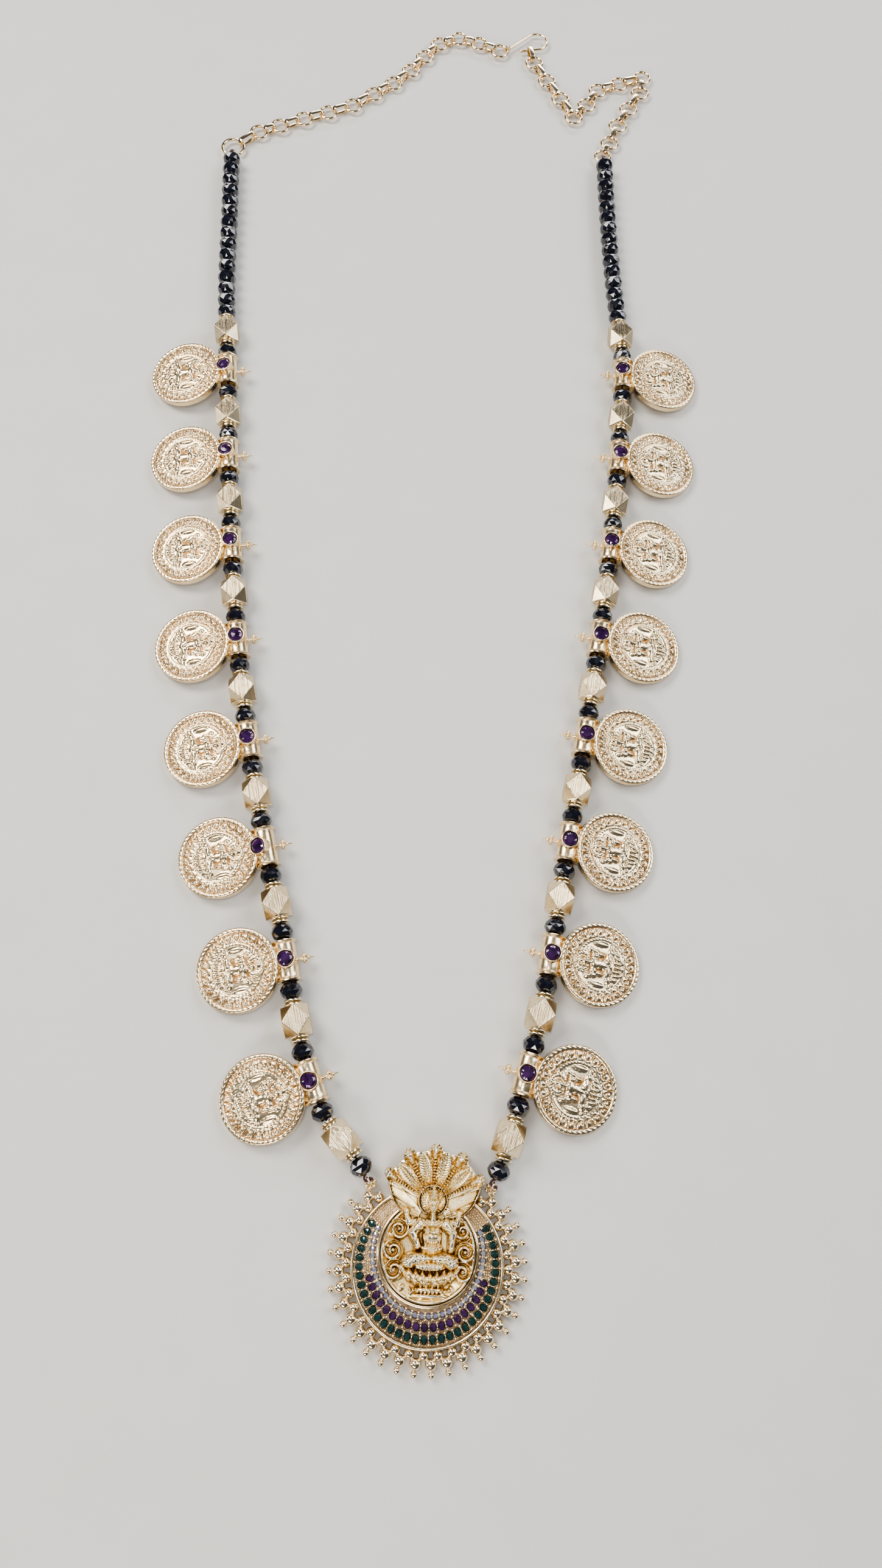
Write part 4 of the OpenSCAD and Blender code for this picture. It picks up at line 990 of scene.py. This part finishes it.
def medallion_grid(columns=590, rows=114):
    """Rays from the throat to the edge: the face as rings from the edge inwards, after the flat back."""
    fan = fan_middle + np.linspace(-80, 80, int(columns * 0.48))
    rest = np.linspace(fan[-1], fan[0] + 360, columns - len(fan) + 2)[1:-1]
    a = np.concatenate([fan, rest])
    f = (a - fan_middle + 180) % 360 - 180
    edge = np.maximum(disc_reach(np.radians(a)), fan_reach(f))
    t = np.concatenate([[1.0, 0.997, 0.985], np.linspace(0.975, 0.03, rows)])[:, None]
    x = throat[0] + t * edge * np.cos(np.radians(a))
    y = throat[1] + t * edge * np.sin(np.radians(a))
    h = medallion_height(x, y, edge + 0 * x)
    h[0], h[1] = 0, 0.6 * h[1]
    face = np.stack([x, y, medallion_ground + h], -1)
    ways = np.radians(a)
    back = [np.stack([throat[0] + s * edge * np.cos(ways), throat[1] + s * edge * np.sin(ways),
                      np.full(len(a), z)], -1)
            for s, z in ((0.3, medallion_low), (0.99, medallion_low), (1.0, medallion_low + 0.1))]
    # Painted light from the cavities: hollows get painted shade, tops a painted highlight, the back a middling
    # shade.
    hollow = cavity(h, 2) + 0.9 * cavity(h, 6)
    painted_shade = np.clip(0.32 + 0.5 * hollow, 0, 1)
    rings = np.concatenate([np.array(back), face])
    return skin(rings, painted_shade=np.concatenate([np.full((3, len(a)), 0.5), painted_shade]))


def relief_gold(name):
    """Cast gold by painted light: a pale painted highlight on the tops, yellow on the flanks and brown painted
    shade in the hollows.
    """
    m, tree, shader, coords = start_material(name)
    at = coords.outputs["Object"]
    shade_amount = node(tree, "ShaderNodeAttribute", attribute_name="painted_shade")
    cloud, grain = noise(tree, at, 700, 4), noise(tree, at, 4200, 2)
    # Painted light: low values give the pale painted highlight on the tops, high ones the brown painted shade
    # in the hollows.
    value = maths(tree, "ADD", shade_amount.outputs["Fac"],
                  maths(tree, "MULTIPLY", maths(tree, "SUBTRACT", cloud, 0.5), 0.3), clamp=True)
    tone = ramp(tree, value, [(0.2, (0.93, 0.84, 0.66)), (0.38, (0.88, 0.7, 0.38)), (0.6, (0.74, 0.51, 0.2)),
                              (0.95, (0.36, 0.2, 0.06))])
    tree.links.new(tone, shader.inputs["Base Color"])
    shader.inputs["Metallic"].default_value = 1
    wear = maths(tree, "ADD", maths(tree, "MULTIPLY", value, 0.3), maths(tree, "MULTIPLY", grain, 0.14))
    tree.links.new(maths(tree, "ADD", wear, 0.1), shader.inputs["Roughness"])
    bumped(tree, shader, grain, 0.000006)
    return m


relief_metal = relief_gold("relief_gold")
piece("goddess_medallion", medallion_grid(), relief_metal, ["medallion"], sharp=60)
print("the medallion has", made["goddess_medallion"], "triangles")

# %% [markdown]
# ## The crescent
# Round the medallion lies a crescent of three rows of set stones between two polished
# rims. Every stone has bars of metal at its sides, and shot at the ends of the bars is
# pushed over its edge to hold it. Outside the rim is a fringe of balls, soldered where
# they touch, which ends in a flower of shot on each side. The flowers carry the strings.

# %% Rims, stones, prongs and fringe
rim_r, rim_w, plate_t = 16.6, 0.7, 1.4
seat_r = medallion_r + 0.1
fringe_step = 10.0


def in_hood(x, y, gap):
    """True where a point lies under the hood's outline, grown by a gap."""
    r, f = turned_angle(x, y, throat, fan_middle)
    return (np.abs(f) < 80) & (r < fan_reach(f) + gap)


def arc_bar(profile, centre, gap=0.2, painted_shade=None):
    """A profile of [radius, height] carried round a circle up to the hood on each side, with closed ends."""
    p = np.asarray(profile, float)
    a = np.radians(np.arange(90, 451, 0.75))
    mid = p[:, 0].mean()
    free = ~in_hood(centre[0] + mid * np.cos(a), centre[1] + mid * np.sin(a), gap)
    a = a[free]
    rings = np.stack([centre[0] + p[:, 0] * np.cos(a)[:, None], centre[1] + p[:, 0] * np.sin(a)[:, None],
                      p[:, 1] + 0 * a[:, None]], -1)
    return skin(rings, painted_shade=None if painted_shade is None else np.tile(np.asarray(painted_shade, float), (len(a), 1)))


# The last list of each is painted shade: dark where the rims meet the plate and on the plate's top between the
# rows of stones.
outer_rim = arc_bar([(rim_r, 1.2), (rim_r, 2.5), (rim_r - 0.05, 2.8), (rim_r - 0.2, 2.97), (rim_r - 0.42, 2.97),
                     (rim_r - 0.62, 2.8), (rim_r - rim_w, 2.5), (rim_r - rim_w, 1.2)], (0, 0),
                    painted_shade=[0.6, 0.2, 0, 0, 0, 0, 0.4, 1])
seat = arc_bar([(seat_r + rim_w, 1.2), (seat_r + rim_w, 2.8), (seat_r + 0.62, 3.15), (seat_r + 0.45, 3.35),
                (seat_r + 0.25, 3.38), (seat_r + 0.08, 3.2), (seat_r, 2.9), (seat_r, 1.2)], (0, medallion_up),
               painted_shade=[1, 0.5, 0, 0, 0, 0, 0.5, 1])
plate = turned([(2, 0.05), (15.8, 0.05), (16.35, 0.0), (16.55, 0.12), (16.58, 0.4), (16.58, 1.38), (15.8, 1.4),
                (11.0, 1.4), (2, 1.4)], 180, painted_shade=[0.3, 0.3, 0, 0, 0.2, 0.5, 0.7, 0.7, 0.7])


def row_points(radius, up, half_angle, count, bulge=0.0):
    """Middles of a row and their angles. The row may stand further out at the bottom by bulge sin^2."""
    a = -90 + np.linspace(-half_angle, half_angle, count)
    r = radius + bulge * np.clip(-np.sin(np.radians(a)), 0, 1) ** 2
    return polar(r, a) + [0, up], a


green_row = dict(radius=14.75, up=0.3, half_angle=122, count=35)
ruby_row = dict(radius=12.75, up=0.65, half_angle=74, count=19)
pale_row = dict(radius=12.05, up=medallion_up, half_angle=112, count=34, bulge=0.55)
metal_rows = []


def stone_row(row, length, width, h, material, name, nodes):
    """A row of cut stones, with a bar of metal between each two and shot at both ends of the bar."""
    middles, angles = row_points(**row)
    stones = [moved(cut_stone(length / 2, width / 2, h, 12), turn("z", a), (m[0], m[1], plate_t + 0.1))
              for m, a in zip(middles, angles)]
    step = (angles[1] - angles[0]) / 2
    spread = dict(row, half_angle=row["half_angle"] + step, count=row["count"] + 1)
    between, turns = row_points(**spread)
    bar = moved(ball((0, 0, 0), 1, 5, 8), np.diag([length / 2, 0.22, 0.66]))
    shot = ball((0, 0, 0), 0.32, 3, 7)
    for m, a in zip(between, turns):
        m3 = np.array([m[0], m[1], plate_t + 0.35])
        metal_rows.append(moved(bar, turn("z", a), m3))
        for end in (-1, 1):
            shift = np.append(polar(end * (length / 2 - 0.05), a), 0.78)
            metal_rows.append(moved(shot, at=m3 + shift))
    return piece(name, join(stones), material, nodes)


stone_row(green_row, 1.9, 1.5, 1.3, green, "green_row", ["green_stones"])
stone_row(ruby_row, 1.9, 1.5, 1.3, purple, "purple_row", ["ruby_stones"])
stone_row(pale_row, 1.5, 1.3, 1.05, pale_stone, "pale_row", [])


def granules(spacing=0.6, r=0.27):
    """Small balls on rings round the rim's centre, wherever no stone, bar, seat or hood is near."""
    radii = np.arange(15.6, 10.4, -spacing * 0.87)
    spots = [polar(ring, np.arange(0, 360, math.degrees(spacing / ring)) + 2.1 * k)
             for k, ring in enumerate(radii)]
    spots = np.concatenate(spots)
    rows = ((green_row, 1.08), (ruby_row, 1.08), (pale_row, 0.9))
    stones = [(row_points(**row)[0], keep) for row, keep in rows]
    free = ~in_hood(spots[:, 0], spots[:, 1], 0.4) & (np.hypot(spots[:, 0], spots[:, 1] - medallion_up) > 11.5)
    for middles, keep in stones:
        free &= np.min(np.linalg.norm(spots[:, None] - middles[None], axis=-1), 1) > keep
    return [ball((*p, plate_t + 0.12), r, 3, 7) for p in spots[free]]


grains = granules()
metal_rows += grains
print(len(grains), "balls fill the floor between the rows")

flower_turn, fringe_z = 135, 1.3
half_row = int(flower_turn / fringe_step + 0.01)
mid_angles = -90 + fringe_step * np.arange(-half_row - 0.5, half_row + 1)
inner_angles = -90 + fringe_step * np.arange(-half_row - 1, half_row + 2)
tip_angles = mid_angles[1:-1]
inner_ring, mid_ring, tip_ring = 17.6, 19.3, 21.33
fringe = []
for a in inner_angles:
    fringe.append(ball((*polar(inner_ring, a), fringe_z), 1.14, 10, 18))
for a in mid_angles:
    fringe.append(ball((*polar(mid_ring, a), fringe_z), 1.29, 11, 20))
for a in tip_angles:
    fringe.append(ball((*polar(tip_ring, a), fringe_z), 0.77, 8, 14))
    neck = turned([(0.5, 0), (0.36, 1.0), (0.4, 1.4), (0.5, 1.9)], 12)
    fringe.append(moved(neck, turn("z", a) @ turn("y", 90), (*polar(mid_ring, a), fringe_z)))
for a in np.concatenate([inner_angles + 2.6, inner_angles - 2.6]):
    fringe.append(ball((*polar(18.35, a), 1.95), 0.34, 4, 8))
for side in sides:
    at, way = flower_at[side], string_way[side]
    heading = math.degrees(math.atan2(way[1], way[0]))
    fringe.append(ball((*at, 2.0), 0.55, 9, 14))
    for k in range(6):
        petal = at + polar(0.99, heading + 60 * k + (30 if side == "left" else 0))
        fringe.append(ball((*petal, 2.0), 0.52, 9, 14))
    stem_at = np.array([*polar(mid_ring, flower_turn if side == "left" else 180 - flower_turn), fringe_z])
    stem = stem_at + np.linspace(0, 1, 5)[:, None] * (np.array([*at, 1.9]) - stem_at)
    fringe.append(wire(stem, 0.42, 12))
    upright = np.array([[way[0], -way[1], 0], [way[1], way[0], 0], [0, 0, 1]]) @ turn("x", 90)
    fringe.append(moved(hoop(0.78, 0.21, 40, 10), upright, (*eye_at[side], string_z)))
metal = join([plate, outer_rim, seat] + fringe)
piece("pendant_metal", metal, pale_gold, ["pendant"], sharp=50)
piece("stone_settings", join(metal_rows), pale_gold, sharp=60)
print("pendant metal", made["pendant_metal"], "and settings", made["stone_settings"], "triangles")

# %% [markdown]
# ## Thread and chain
# A waxed red thread of two strands runs through every bead. It is tied round the
# pendant's eye at one end and round a ring at the other. The chain is of plain wire
# rings that lie flat, joined by short flat links that stand on edge, and a hook bent
# from one wire closes it. Rings as thin as these are wound on a rod and cut one by one.

# %% Threads and knots
knot_r, thread_r = 0.95, 0.3
jump_radius = {"left": 3.3, "right": 2.3}
knot_at = {s: place(s, string_end) + (knot_r + 0.3) * end_way[s] for s in sides}
loop_at = {s: knot_at[s] + 0.5 * end_way[s] for s in sides}
jump_at = {s: loop_at[s] + jump_radius[s] * end_way[s] for s in sides}


def fibre(name):
    """Waxed dark red thread: its dye is uneven, it has a soft edge and fine strands show in the bump."""
    m, tree, shader, coords = start_material(name)
    at = coords.outputs["Object"]
    cloud, strand = noise(tree, at, 1800, 3), noise(tree, at, 9000, 2)
    tree.links.new(mixed(tree, cloud, (0.09, 0.006, 0.014), (0.035, 0.003, 0.008)), shader.inputs["Base Color"])
    tree.links.new(maths(tree, "ADD", maths(tree, "MULTIPLY", strand, 0.3), 0.35), shader.inputs["Roughness"])
    shader.inputs["Sheen Weight"].default_value = 0.3
    bumped(tree, shader, strand, 0.00004)
    return m


def twisted_thread(path, radius, pitch=1.7):
    """Two strands laid round each other: the radius is 0.78 + 0.22 |cos(turn - run / pitch)| times
    the full one."""
    p = np.asarray(path, float)
    steps = np.linalg.norm(np.diff(p, axis=0), axis=1)
    run = np.concatenate([[0], np.cumsum(steps)])
    even = np.arange(0, run[-1], 0.25)
    p = np.stack([np.interp(even, run, p[:, k]) for k in range(3)], -1)
    plain = wire(p, radius, 10)["points"][:-2].reshape(len(p), 10, 3)
    swell = 0.78 + 0.22 * np.abs(np.cos(around(10)[None] - 2 * np.pi * even[:, None] / pitch))
    return skin(p[:, None] + (plain - p[:, None]) * swell[..., None])


thread_red = fibre("thread")
for side in sides:
    way, eye = string_way[side], eye_at[side]
    across = np.array([-way[1], way[0]])
    ends = [[place(side, s), place(side, s + n)] for s, n in zip(starts, lengths)]
    joints = [ends[0][0]] + [(a[1] + b[0]) / 2 for a, b in zip(ends, ends[1:])] + [ends[-1][1]]
    bow = ((0, -0.7), (0, 0.25), (0.3, 0.66), (0.8, 0.7), (1.25, 0.38))
    round_eye = [eye + u * way + v * across for u, v in bow]
    flat = np.array(round_eye + joints + [knot_at[side]])
    path = np.concatenate([flat, np.full((len(flat), 1), string_z)], 1)
    k, e = knot_at[side], end_way[side]
    t = np.linspace(0, 1, 90)
    wraps = 2 * np.pi * 3.5 * t
    across_end = np.array([-e[1], e[0]])
    spread = np.sin(np.pi * t) * 0.32 + 0.3
    knot = np.concatenate([k + (1.1 * (t - 0.5))[:, None] * e + (spread * np.cos(wraps))[:, None] * across_end,
                           (string_z - 0.25 + spread * np.sin(wraps))[:, None]], 1)
    turned_up = np.array([[e[0], -e[1], 0], [e[1], e[0], 0], [0, 0, 1]]) @ turn("x", 90)
    parts = [twisted_thread(path, thread_r), wire(knot, 0.27, 8, up=(e[0], e[1], 0)),
             ball((*k, string_z - 0.25), 0.62, 7, 12), ball((*round_eye[0], string_z), 0.42, 7, 12),
             moved(hoop(0.85, 0.21, 36, 8), turned_up, (*loop_at[side], chain_z))]
    piece(f"{side}_waxed_thread", join(parts), thread_red, [f"{side}_thread"])
print("threads run through", len(order), "pieces each")

# %% Rings, links and the hook
ring_r, ring_wire = 2.52, 0.48
band_h, band_w, band_t, link_gap = 2.8, 1.2, 0.45, 0.12
left_rings = [(-67.9, 323.2), (-61.6, 326.3), (-54.4, 329.9), (-47.1, 333.2), (-39.6, 336.8),
              (-33.3, 342.2), (-27.4, 347.4), (-22.2, 353.4), (-18, 359.9), (-13.6, 366), (-7.4, 369),
              (-0.7, 367.4), (6, 364.6)]
right_rings = [(41.7, 327.9), (44.3, 335.5), (47.8, 342.9), (51.6, 350.1), (52.3, 356.8), (44.8, 353.4),
               (38, 350), (34.4, 343.4), (30.3, 337.8), (26, 345.3), (21.6, 352.8), (17.4, 360.3)]
hook_turn, hook_l, hook_bend_r, hook_wire, hook_catch = 24, 10.6, 3.4, 0.4, 7.2


def band_link(p, q):
    """A flat strip bent to a long loop on edge: its middle line is two straights and two half circles."""
    p, q = np.asarray(p, float), np.asarray(q, float)
    way = unit(q - p)
    high = band_h / 2 - band_t
    hole = jump_radius["right"] - ring_wire
    room = high - math.sqrt(high ** 2 - ring_wire ** 2) + hole - math.sqrt(hole ** 2 - band_w ** 2 / 4)
    half = np.linalg.norm(q - p) / 2 + ring_wire + room + link_gap
    t = np.linspace(-90, 90, 15)
    mid = high + band_t / 2
    arc = polar(mid, t)
    line = np.concatenate([arc + [half - high, 0], -arc - [half - high, 0]])
    normal = np.concatenate([polar(1, t), -polar(1, t)])
    edge = np.array([(0.5, -0.36), (0.42, -0.5), (-0.42, -0.5), (-0.5, -0.36), (-0.5, 0.36), (-0.42, 0.5),
                     (0.42, 0.5), (0.5, 0.36)])
    flat = line[:, None] + normal[:, None] * (edge[:, 0] * band_t)[None, :, None]
    rings = np.concatenate([flat[..., :1], np.broadcast_to((edge[:, 1] * band_w)[None, :, None],
                                                          flat.shape[:2] + (1,)), flat[..., 1:]], -1)
    axes = np.array([[way[0], -way[1], 0], [way[1], way[0], 0], [0, 0, 1]])
    return moved(skin(rings, closed=True), axes, (*((p + q) / 2), chain_z))


def chain(first, first_r, rings, last=None):
    """Flat rings at their middles and the links that join them, from a first ring made apart."""
    centres = [np.array(first)] + [np.array(r) for r in rings]
    parts = [moved(hoop(ring_r, ring_wire, 56, 12), at=(*c, chain_z)) for c in centres[1:]]
    for i, (a, b) in enumerate(zip(centres, centres[1:])):
        way = unit(b - a)
        parts.append(band_link(a + way * (first_r if i == 0 else ring_r), b - way * ring_r))
    if last is not None:
        parts.append(band_link(centres[-1] + ring_r * unit(last - centres[-1]), last))
    return join(parts)


hook_eye_r = hook_wire + ring_wire + link_gap
hook_eye = np.array(left_rings[-1]) + ring_r * polar(1, hook_turn)
slant = math.degrees(math.asin(hook_bend_r / (hook_l - hook_eye_r)))
back_start = [hook_l, 0] + polar(hook_bend_r, -100)
back_way = polar(1, 170)
to_hook = turn("z", hook_turn)[:2, :2]
catch_at = hook_eye + to_hook @ (back_start + back_way * (hook_l - hook_catch) * 0.9)
bend = [hook_l, 0] + polar(hook_bend_r, np.linspace(90 + slant, -100, 40))
tip_run = np.linspace(0.3, 6, 8)[:, None]
shank = np.concatenate([[[hook_eye_r - 0.1, 0.0]], bend, back_start + back_way * tip_run])
shank = np.concatenate([shank, np.zeros((len(shank), 1))], 1)
hook_parts = [moved(hoop(hook_eye_r, hook_wire, 40, 12), turn("x", 90)), wire(shank, hook_wire, 14),
              ball((*(back_start + 6 * back_way), 0), 0.55, 8, 14)]
# Its third colour is the brown of its painted shade.
plain_gold = gold("chain_gold", (0.95, 0.8, 0.58), (0.9, 0.7, 0.44), (0.4, 0.24, 0.1), 0.14)
piece("wire_hook", moved(join(hook_parts), turn("z", hook_turn), (*hook_eye, chain_z)), plain_gold,
      ["hook"])
open_from = 315
open_turns = np.linspace(open_from, open_from + 324, 90)
open_ring = np.concatenate([polar(jump_radius["left"], open_turns), np.zeros((90, 1))], 1)
ends = [ball(open_ring[k], 0.49, 7, 12) for k in (0, -1)]
bent_ring = moved(join([wire(open_ring, ring_wire, 14)] + ends), at=(*jump_at["left"], chain_z))
piece("open_ring", bent_ring, plain_gold, ["left_jump_ring"])
piece("closed_ring", moved(hoop(jump_radius["right"], ring_wire, 72, 14), at=(*jump_at["right"], chain_z)),
      plain_gold, ["right_jump_ring"])
piece("left_ring_chain", chain(jump_at["left"], jump_radius["left"], left_rings), plain_gold,
      ["left_chain"])
piece("right_ring_chain", chain(jump_at["right"], jump_radius["right"], right_rings, catch_at), plain_gold,
      ["right_chain"])
print("object triangles:", sum(made.values()))

# %% [markdown]
# ## Stage, light and camera
# The necklace lies on a plain pale floor. Metal only shows its shape through what it
# reflects, so large soft panels alternate with darker gaps over it. The camera stands
# where the photograph's did, 27 cm above the pendant and looking up the table, with a
# wide lens, so that the pendant looks larger than the chain.

# %% Floor, panels and camera
floor_mesh = bpy.data.meshes.new("floor")
size = 1.6
corners = [(-size, -size, 0), (size, -size, 0), (size, size, 0), (-size, size, 0)]
floor_mesh.from_pydata(corners, [], [(0, 1, 2, 3)])
floor = bpy.data.objects.new("floor", floor_mesh)
bpy.context.collection.objects.link(floor)
m, tree, shader, coords = start_material("floor")
paper = noise(tree, coords.outputs["Object"], 60, 4)
tree.links.new(mixed(tree, paper, (0.74, 0.725, 0.705), (0.7, 0.685, 0.66)), shader.inputs["Base Color"])
shader.inputs["Roughness"].default_value = 0.8
floor_mesh.materials.append(m)

world = bpy.data.worlds.new("room")
bpy.context.scene.world = world
world.use_nodes = True
world.node_tree.nodes["Background"].inputs["Color"].default_value = (0.85, 0.9, 1, 1)
world.node_tree.nodes["Background"].inputs["Strength"].default_value = 0.1


def panel(name, at, aim, width, height, watts, colour=(1, 1, 1)):
    """A soft rectangular light that faces a point on the table."""
    light = bpy.data.lights.new(name, "AREA")
    light.shape, light.size, light.size_y = "RECTANGLE", width, height
    light.energy, light.color = watts, colour
    lamp = bpy.data.objects.new(name, light)
    bpy.context.collection.objects.link(lamp)
    way = np.array(aim, float) - np.array(at, float)
    lamp.rotation_euler = Vector(way).to_track_quat("-Z", "Y").to_euler()
    lamp.location = at
    return lamp


panel("key", (-0.42, 0.42, 0.62), (0, 0.16, 0), 0.36, 0.36, 4.3, (1, 0.95, 0.88))
panel("fill", (0.62, 0.2, 0.42), (0, 0.17, 0), 0.16, 0.7, 1.7, (0.94, 0.97, 1))
panel("back", (0.1, 0.95, 0.35), (0, 0.2, 0), 0.7, 0.1, 2.0)
panel("low", (-0.15, -0.42, 0.36), (0, 0.05, 0), 0.4, 0.1, 1.8, (1, 0.93, 0.84))
panel("ceiling", (0.1, 0.15, 1.3), (0, 0.17, 0), 1.1, 0.8, 0.5)
panel("window", (0.5, 0.5, 0.6), (0.04, 0.15, 0), 0.34, 0.34, 1.9, (0.96, 0.98, 1))
panel("glint", (-0.03, 0.05, 0.36), (0, 0.12, 0), 0.05, 0.03, 0.22)
panel("side", (-0.7, -0.05, 0.3), (0, 0.12, 0), 0.1, 0.5, 1.2, (1, 0.97, 0.93))

camera_at = np.array([-0.00712, 0.01563, 0.2686])
heading, lift, roll = -3.1357, 19.68, 6.0
c, s = math.cos(math.radians(heading)), math.sin(math.radians(heading))
ct, st = math.cos(math.radians(lift)), math.sin(math.radians(lift))
right = np.array([c, s, 0])
upward = np.array([-s * ct, c * ct, st])
forward = np.array([-s * st, c * st, -ct])
cr, sr = math.cos(math.radians(roll)), math.sin(math.radians(roll))
camera = bpy.data.objects.new("camera", bpy.data.cameras.new("camera"))
bpy.context.collection.objects.link(camera)
axes = np.stack([cr * right + sr * upward, -sr * right + cr * upward, -forward], 1)
pose = np.eye(4)
pose[:3, :3], pose[:3, 3] = axes, camera_at
camera.matrix_world = Matrix(pose.tolist())
camera.data.sensor_fit, camera.data.sensor_height, camera.data.lens = "VERTICAL", 36, 26.08
camera.data.clip_start = 0.01
bpy.context.scene.camera = camera
bpy.context.scene.view_settings.view_transform = "AgX"
bpy.context.scene.view_settings.look = "AgX - Medium High Contrast"
print("camera", np.round(camera_at, 3).tolist())
